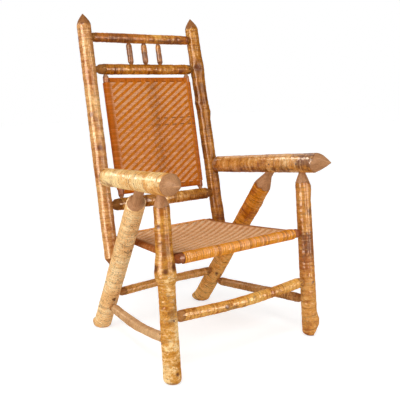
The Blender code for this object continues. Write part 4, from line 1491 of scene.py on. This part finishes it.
def seen_rays(tree):
    """1 for the rays that show the plain background: from the camera, from gloss or through glass."""
    path = node(tree, "ShaderNodeLightPath").outputs
    seen = calc(tree, "MAXIMUM", path["Is Camera Ray"], path["Is Glossy Ray"])
    return calc(tree, "MAXIMUM", seen, path["Is Transmission Ray"])


def soft_light(name, place, power, spread):
    """A broad even light that shines on the chair from the side of a place."""
    data = bpy.data.lights.new(name, "SUN")
    data.energy = power
    data.angle = math.radians(spread)
    made = bpy.data.objects.new(name, data)
    made.location = place
    made.rotation_euler = Vector(place).to_track_quat("Z", "Y").to_euler()
    bpy.context.scene.collection.objects.link(made)


def soft_box(name, place, width, height, power, shine):
    """Two broad lamps that face the chair, one for matt colours and one just before it for varnish."""
    away = place - CHAIR_MIDDLE
    for label, energy, nearer in (("matt", power, 0.0), ("shine", shine, LAMP_GAP)):
        data = bpy.data.lights.new(f"{name}_{label}", "AREA")
        data.shape = "RECTANGLE"
        data.size = width
        data.size_y = height
        data.energy = energy
        data.color = (1, 1, 1) if label == "matt" else WARM_SHINE
        made = bpy.data.objects.new(data.name, data)
        made.location = place - away.normalized() * nearer
        made.rotation_euler = away.to_track_quat("Z", "Y").to_euler()
        made.visible_camera = False
        made.visible_glossy = label == "shine"
        made.visible_diffuse = label == "matt"
        bpy.context.scene.collection.objects.link(made)


class BIRCH_OT_stage(bpy.types.Operator):
    """Makes the floor, the lights and the camera"""

    bl_idname = "birch.stage"
    bl_label = "Stage"

    def execute(self, context):
        scene = context.scene
        stage = scene.birch_stage
        data = bpy.data.meshes.new("studio_floor")
        corners = [(x * FLOOR_HALF, y * FLOOR_HALF, 0) for x, y in ((-1, -1), (1, -1), (1, 1), (-1, 1))]
        data.from_pydata(corners, [], [(0, 1, 2, 3)])
        data.materials.append(self.floor_material(scene.birch_colours.floor))
        floor = bpy.data.objects.new("studio_floor", data)
        floor.location.z = -FLOOR_DROP
        scene.collection.objects.link(floor)
        world = bpy.data.worlds.new("white_studio")
        scene.world = world
        world.use_nodes = True
        tree = world.node_tree
        level = ramp_line(tree, seen_rays(tree), stage.sky_level, 1.0)
        background = tree.nodes["Background"]
        background.inputs["Color"].default_value = (1, 1, 1, 1)
        tree.links.new(level, background.inputs["Strength"])
        soft_light("top_light", (-1.6, -1.5, 3.4), stage.top_power, 20)
        soft_light("back_light", (1.4, 2.6, 2.2), stage.back_power, 30)
        left, front, right, rear = [facing(turn) for turn in (-84, -8, 26, -152)]
        soft_box("left_box", left * 2.4 + UP * 1.2, 1.5, 2.4, stage.left_power, stage.left_shine)
        soft_box("front_box", front * 2.6 + UP * 1.2, 0.4, 2.4, stage.front_power, stage.front_shine)
        soft_box("right_box", right * 2.7 + UP * 1.2, 0.9, 2.4, stage.right_power, stage.right_shine)
        soft_box("rear_box", rear * 3.0 + UP * 2.3, 1.4, 2.4, stage.rear_power, stage.rear_shine)
        soft_box("upper_box", facing(-52) * 1.9 + UP * 3.0, 1.4, 1.4, stage.upper_power, stage.upper_shine)
        lens = bpy.data.cameras.new("photo_camera")
        lens.lens = stage.camera_lens
        lens.sensor_width = FRAME_WIDTH
        camera = bpy.data.objects.new("photo_camera", lens)
        turn, rise = stage.camera_azimuth, stage.camera_elevation
        back = Vector((math.sin(turn) * math.cos(rise), -math.cos(turn) * math.cos(rise), math.sin(rise)))
        right = Vector((math.cos(turn), math.sin(turn), 0))
        camera.matrix_world = Matrix((right, back.cross(right), back)).transposed().to_4x4()
        camera.location = stage.camera_place
        scene.collection.objects.link(camera)
        scene.camera = camera
        scene.view_settings.view_transform = "Standard"
        return {"FINISHED"}

    def floor_material(self, tint):
        """A pale floor that the camera sees as white outside the chair's shadow."""
        made, tree, shader = new_material("pale_floor")
        place = node(tree, "ShaderNodeTexCoord").outputs["Object"]
        grain = noise(tree, place, (6, 6, 6), 3.0)
        base = blend(tree, ramp(tree, grain, 0.3, 0.7, 0.0, 0.05), rgba(tint), rgba(tint, 0.9))
        shader.inputs["Roughness"].default_value = 0.9
        shader.inputs["Specular IOR Level"].default_value = 0.1
        seen = seen_rays(tree)
        tree.links.new(blend(tree, seen, base, rgba(tint, 0.5)), shader.inputs["Base Color"])
        shader.inputs["Emission Color"].default_value = (1, 1, 1, 1)
        tree.links.new(calc(tree, "MULTIPLY", seen, FLOOR_GLOW), shader.inputs["Emission Strength"])
        return made


OPERATORS = (
    BIRCH_OT_stage,
    BIRCH_OT_arms,
    BIRCH_OT_front_legs,
    BIRCH_OT_rear_legs,
    BIRCH_OT_back_posts,
    BIRCH_OT_back_rails,
    BIRCH_OT_spindles,
    BIRCH_OT_weave_rods,
    BIRCH_OT_seat_rails,
    BIRCH_OT_stretchers,
    BIRCH_OT_back_weave,
    BIRCH_OT_seat_weave,
    BIRCH_OT_nails,
)
GROUPS = {
    "birch_logs": BirchLogSizes,
    "birch_weave": BirchWeaveSizes,
    "birch_colours": BirchColours,
    "birch_stage": BirchStage,
}


class VIEW3D_PT_birch_chair(bpy.types.Panel):
    """Lists the chair's sizes, colours and pieces"""

    bl_label = "Birch chair"
    bl_space_type = "VIEW_3D"
    bl_region_type = "UI"
    bl_category = "Birch chair"

    def draw(self, context):
        for label in GROUPS:
            box = self.layout.box()
            group = getattr(context.scene, label)
            for name in group.bl_rna.properties.keys():
                if name not in ("rna_type", "name"):
                    box.prop(group, name)
        for operator in OPERATORS:
            self.layout.operator(operator.bl_idname)


def register():
    """Registers the classes and hangs the settings on the scene."""
    for made in (*GROUPS.values(), *OPERATORS, VIEW3D_PT_birch_chair):
        bpy.utils.register_class(made)
    for label, group in GROUPS.items():
        setattr(bpy.types.Scene, label, PointerProperty(type=group))


def unregister():
    """Takes the settings and the classes away again."""
    for label in GROUPS:
        delattr(bpy.types.Scene, label)
    for made in reversed((*GROUPS.values(), *OPERATORS, VIEW3D_PT_birch_chair)):
        bpy.utils.unregister_class(made)


def main():
    """Dresses the whole chair."""
    register()
    bpy.ops.birch.stage()
    bpy.ops.birch.arms()
    bpy.ops.birch.front_legs()
    bpy.ops.birch.rear_legs()
    bpy.ops.birch.back_posts()
    bpy.ops.birch.back_rails()
    bpy.ops.birch.spindles()
    bpy.ops.birch.weave_rods()
    bpy.ops.birch.seat_rails()
    bpy.ops.birch.stretchers()
    bpy.ops.birch.back_weave()
    bpy.ops.birch.seat_weave()
    bpy.ops.birch.nails()


if __name__ == "__main__":
    main()
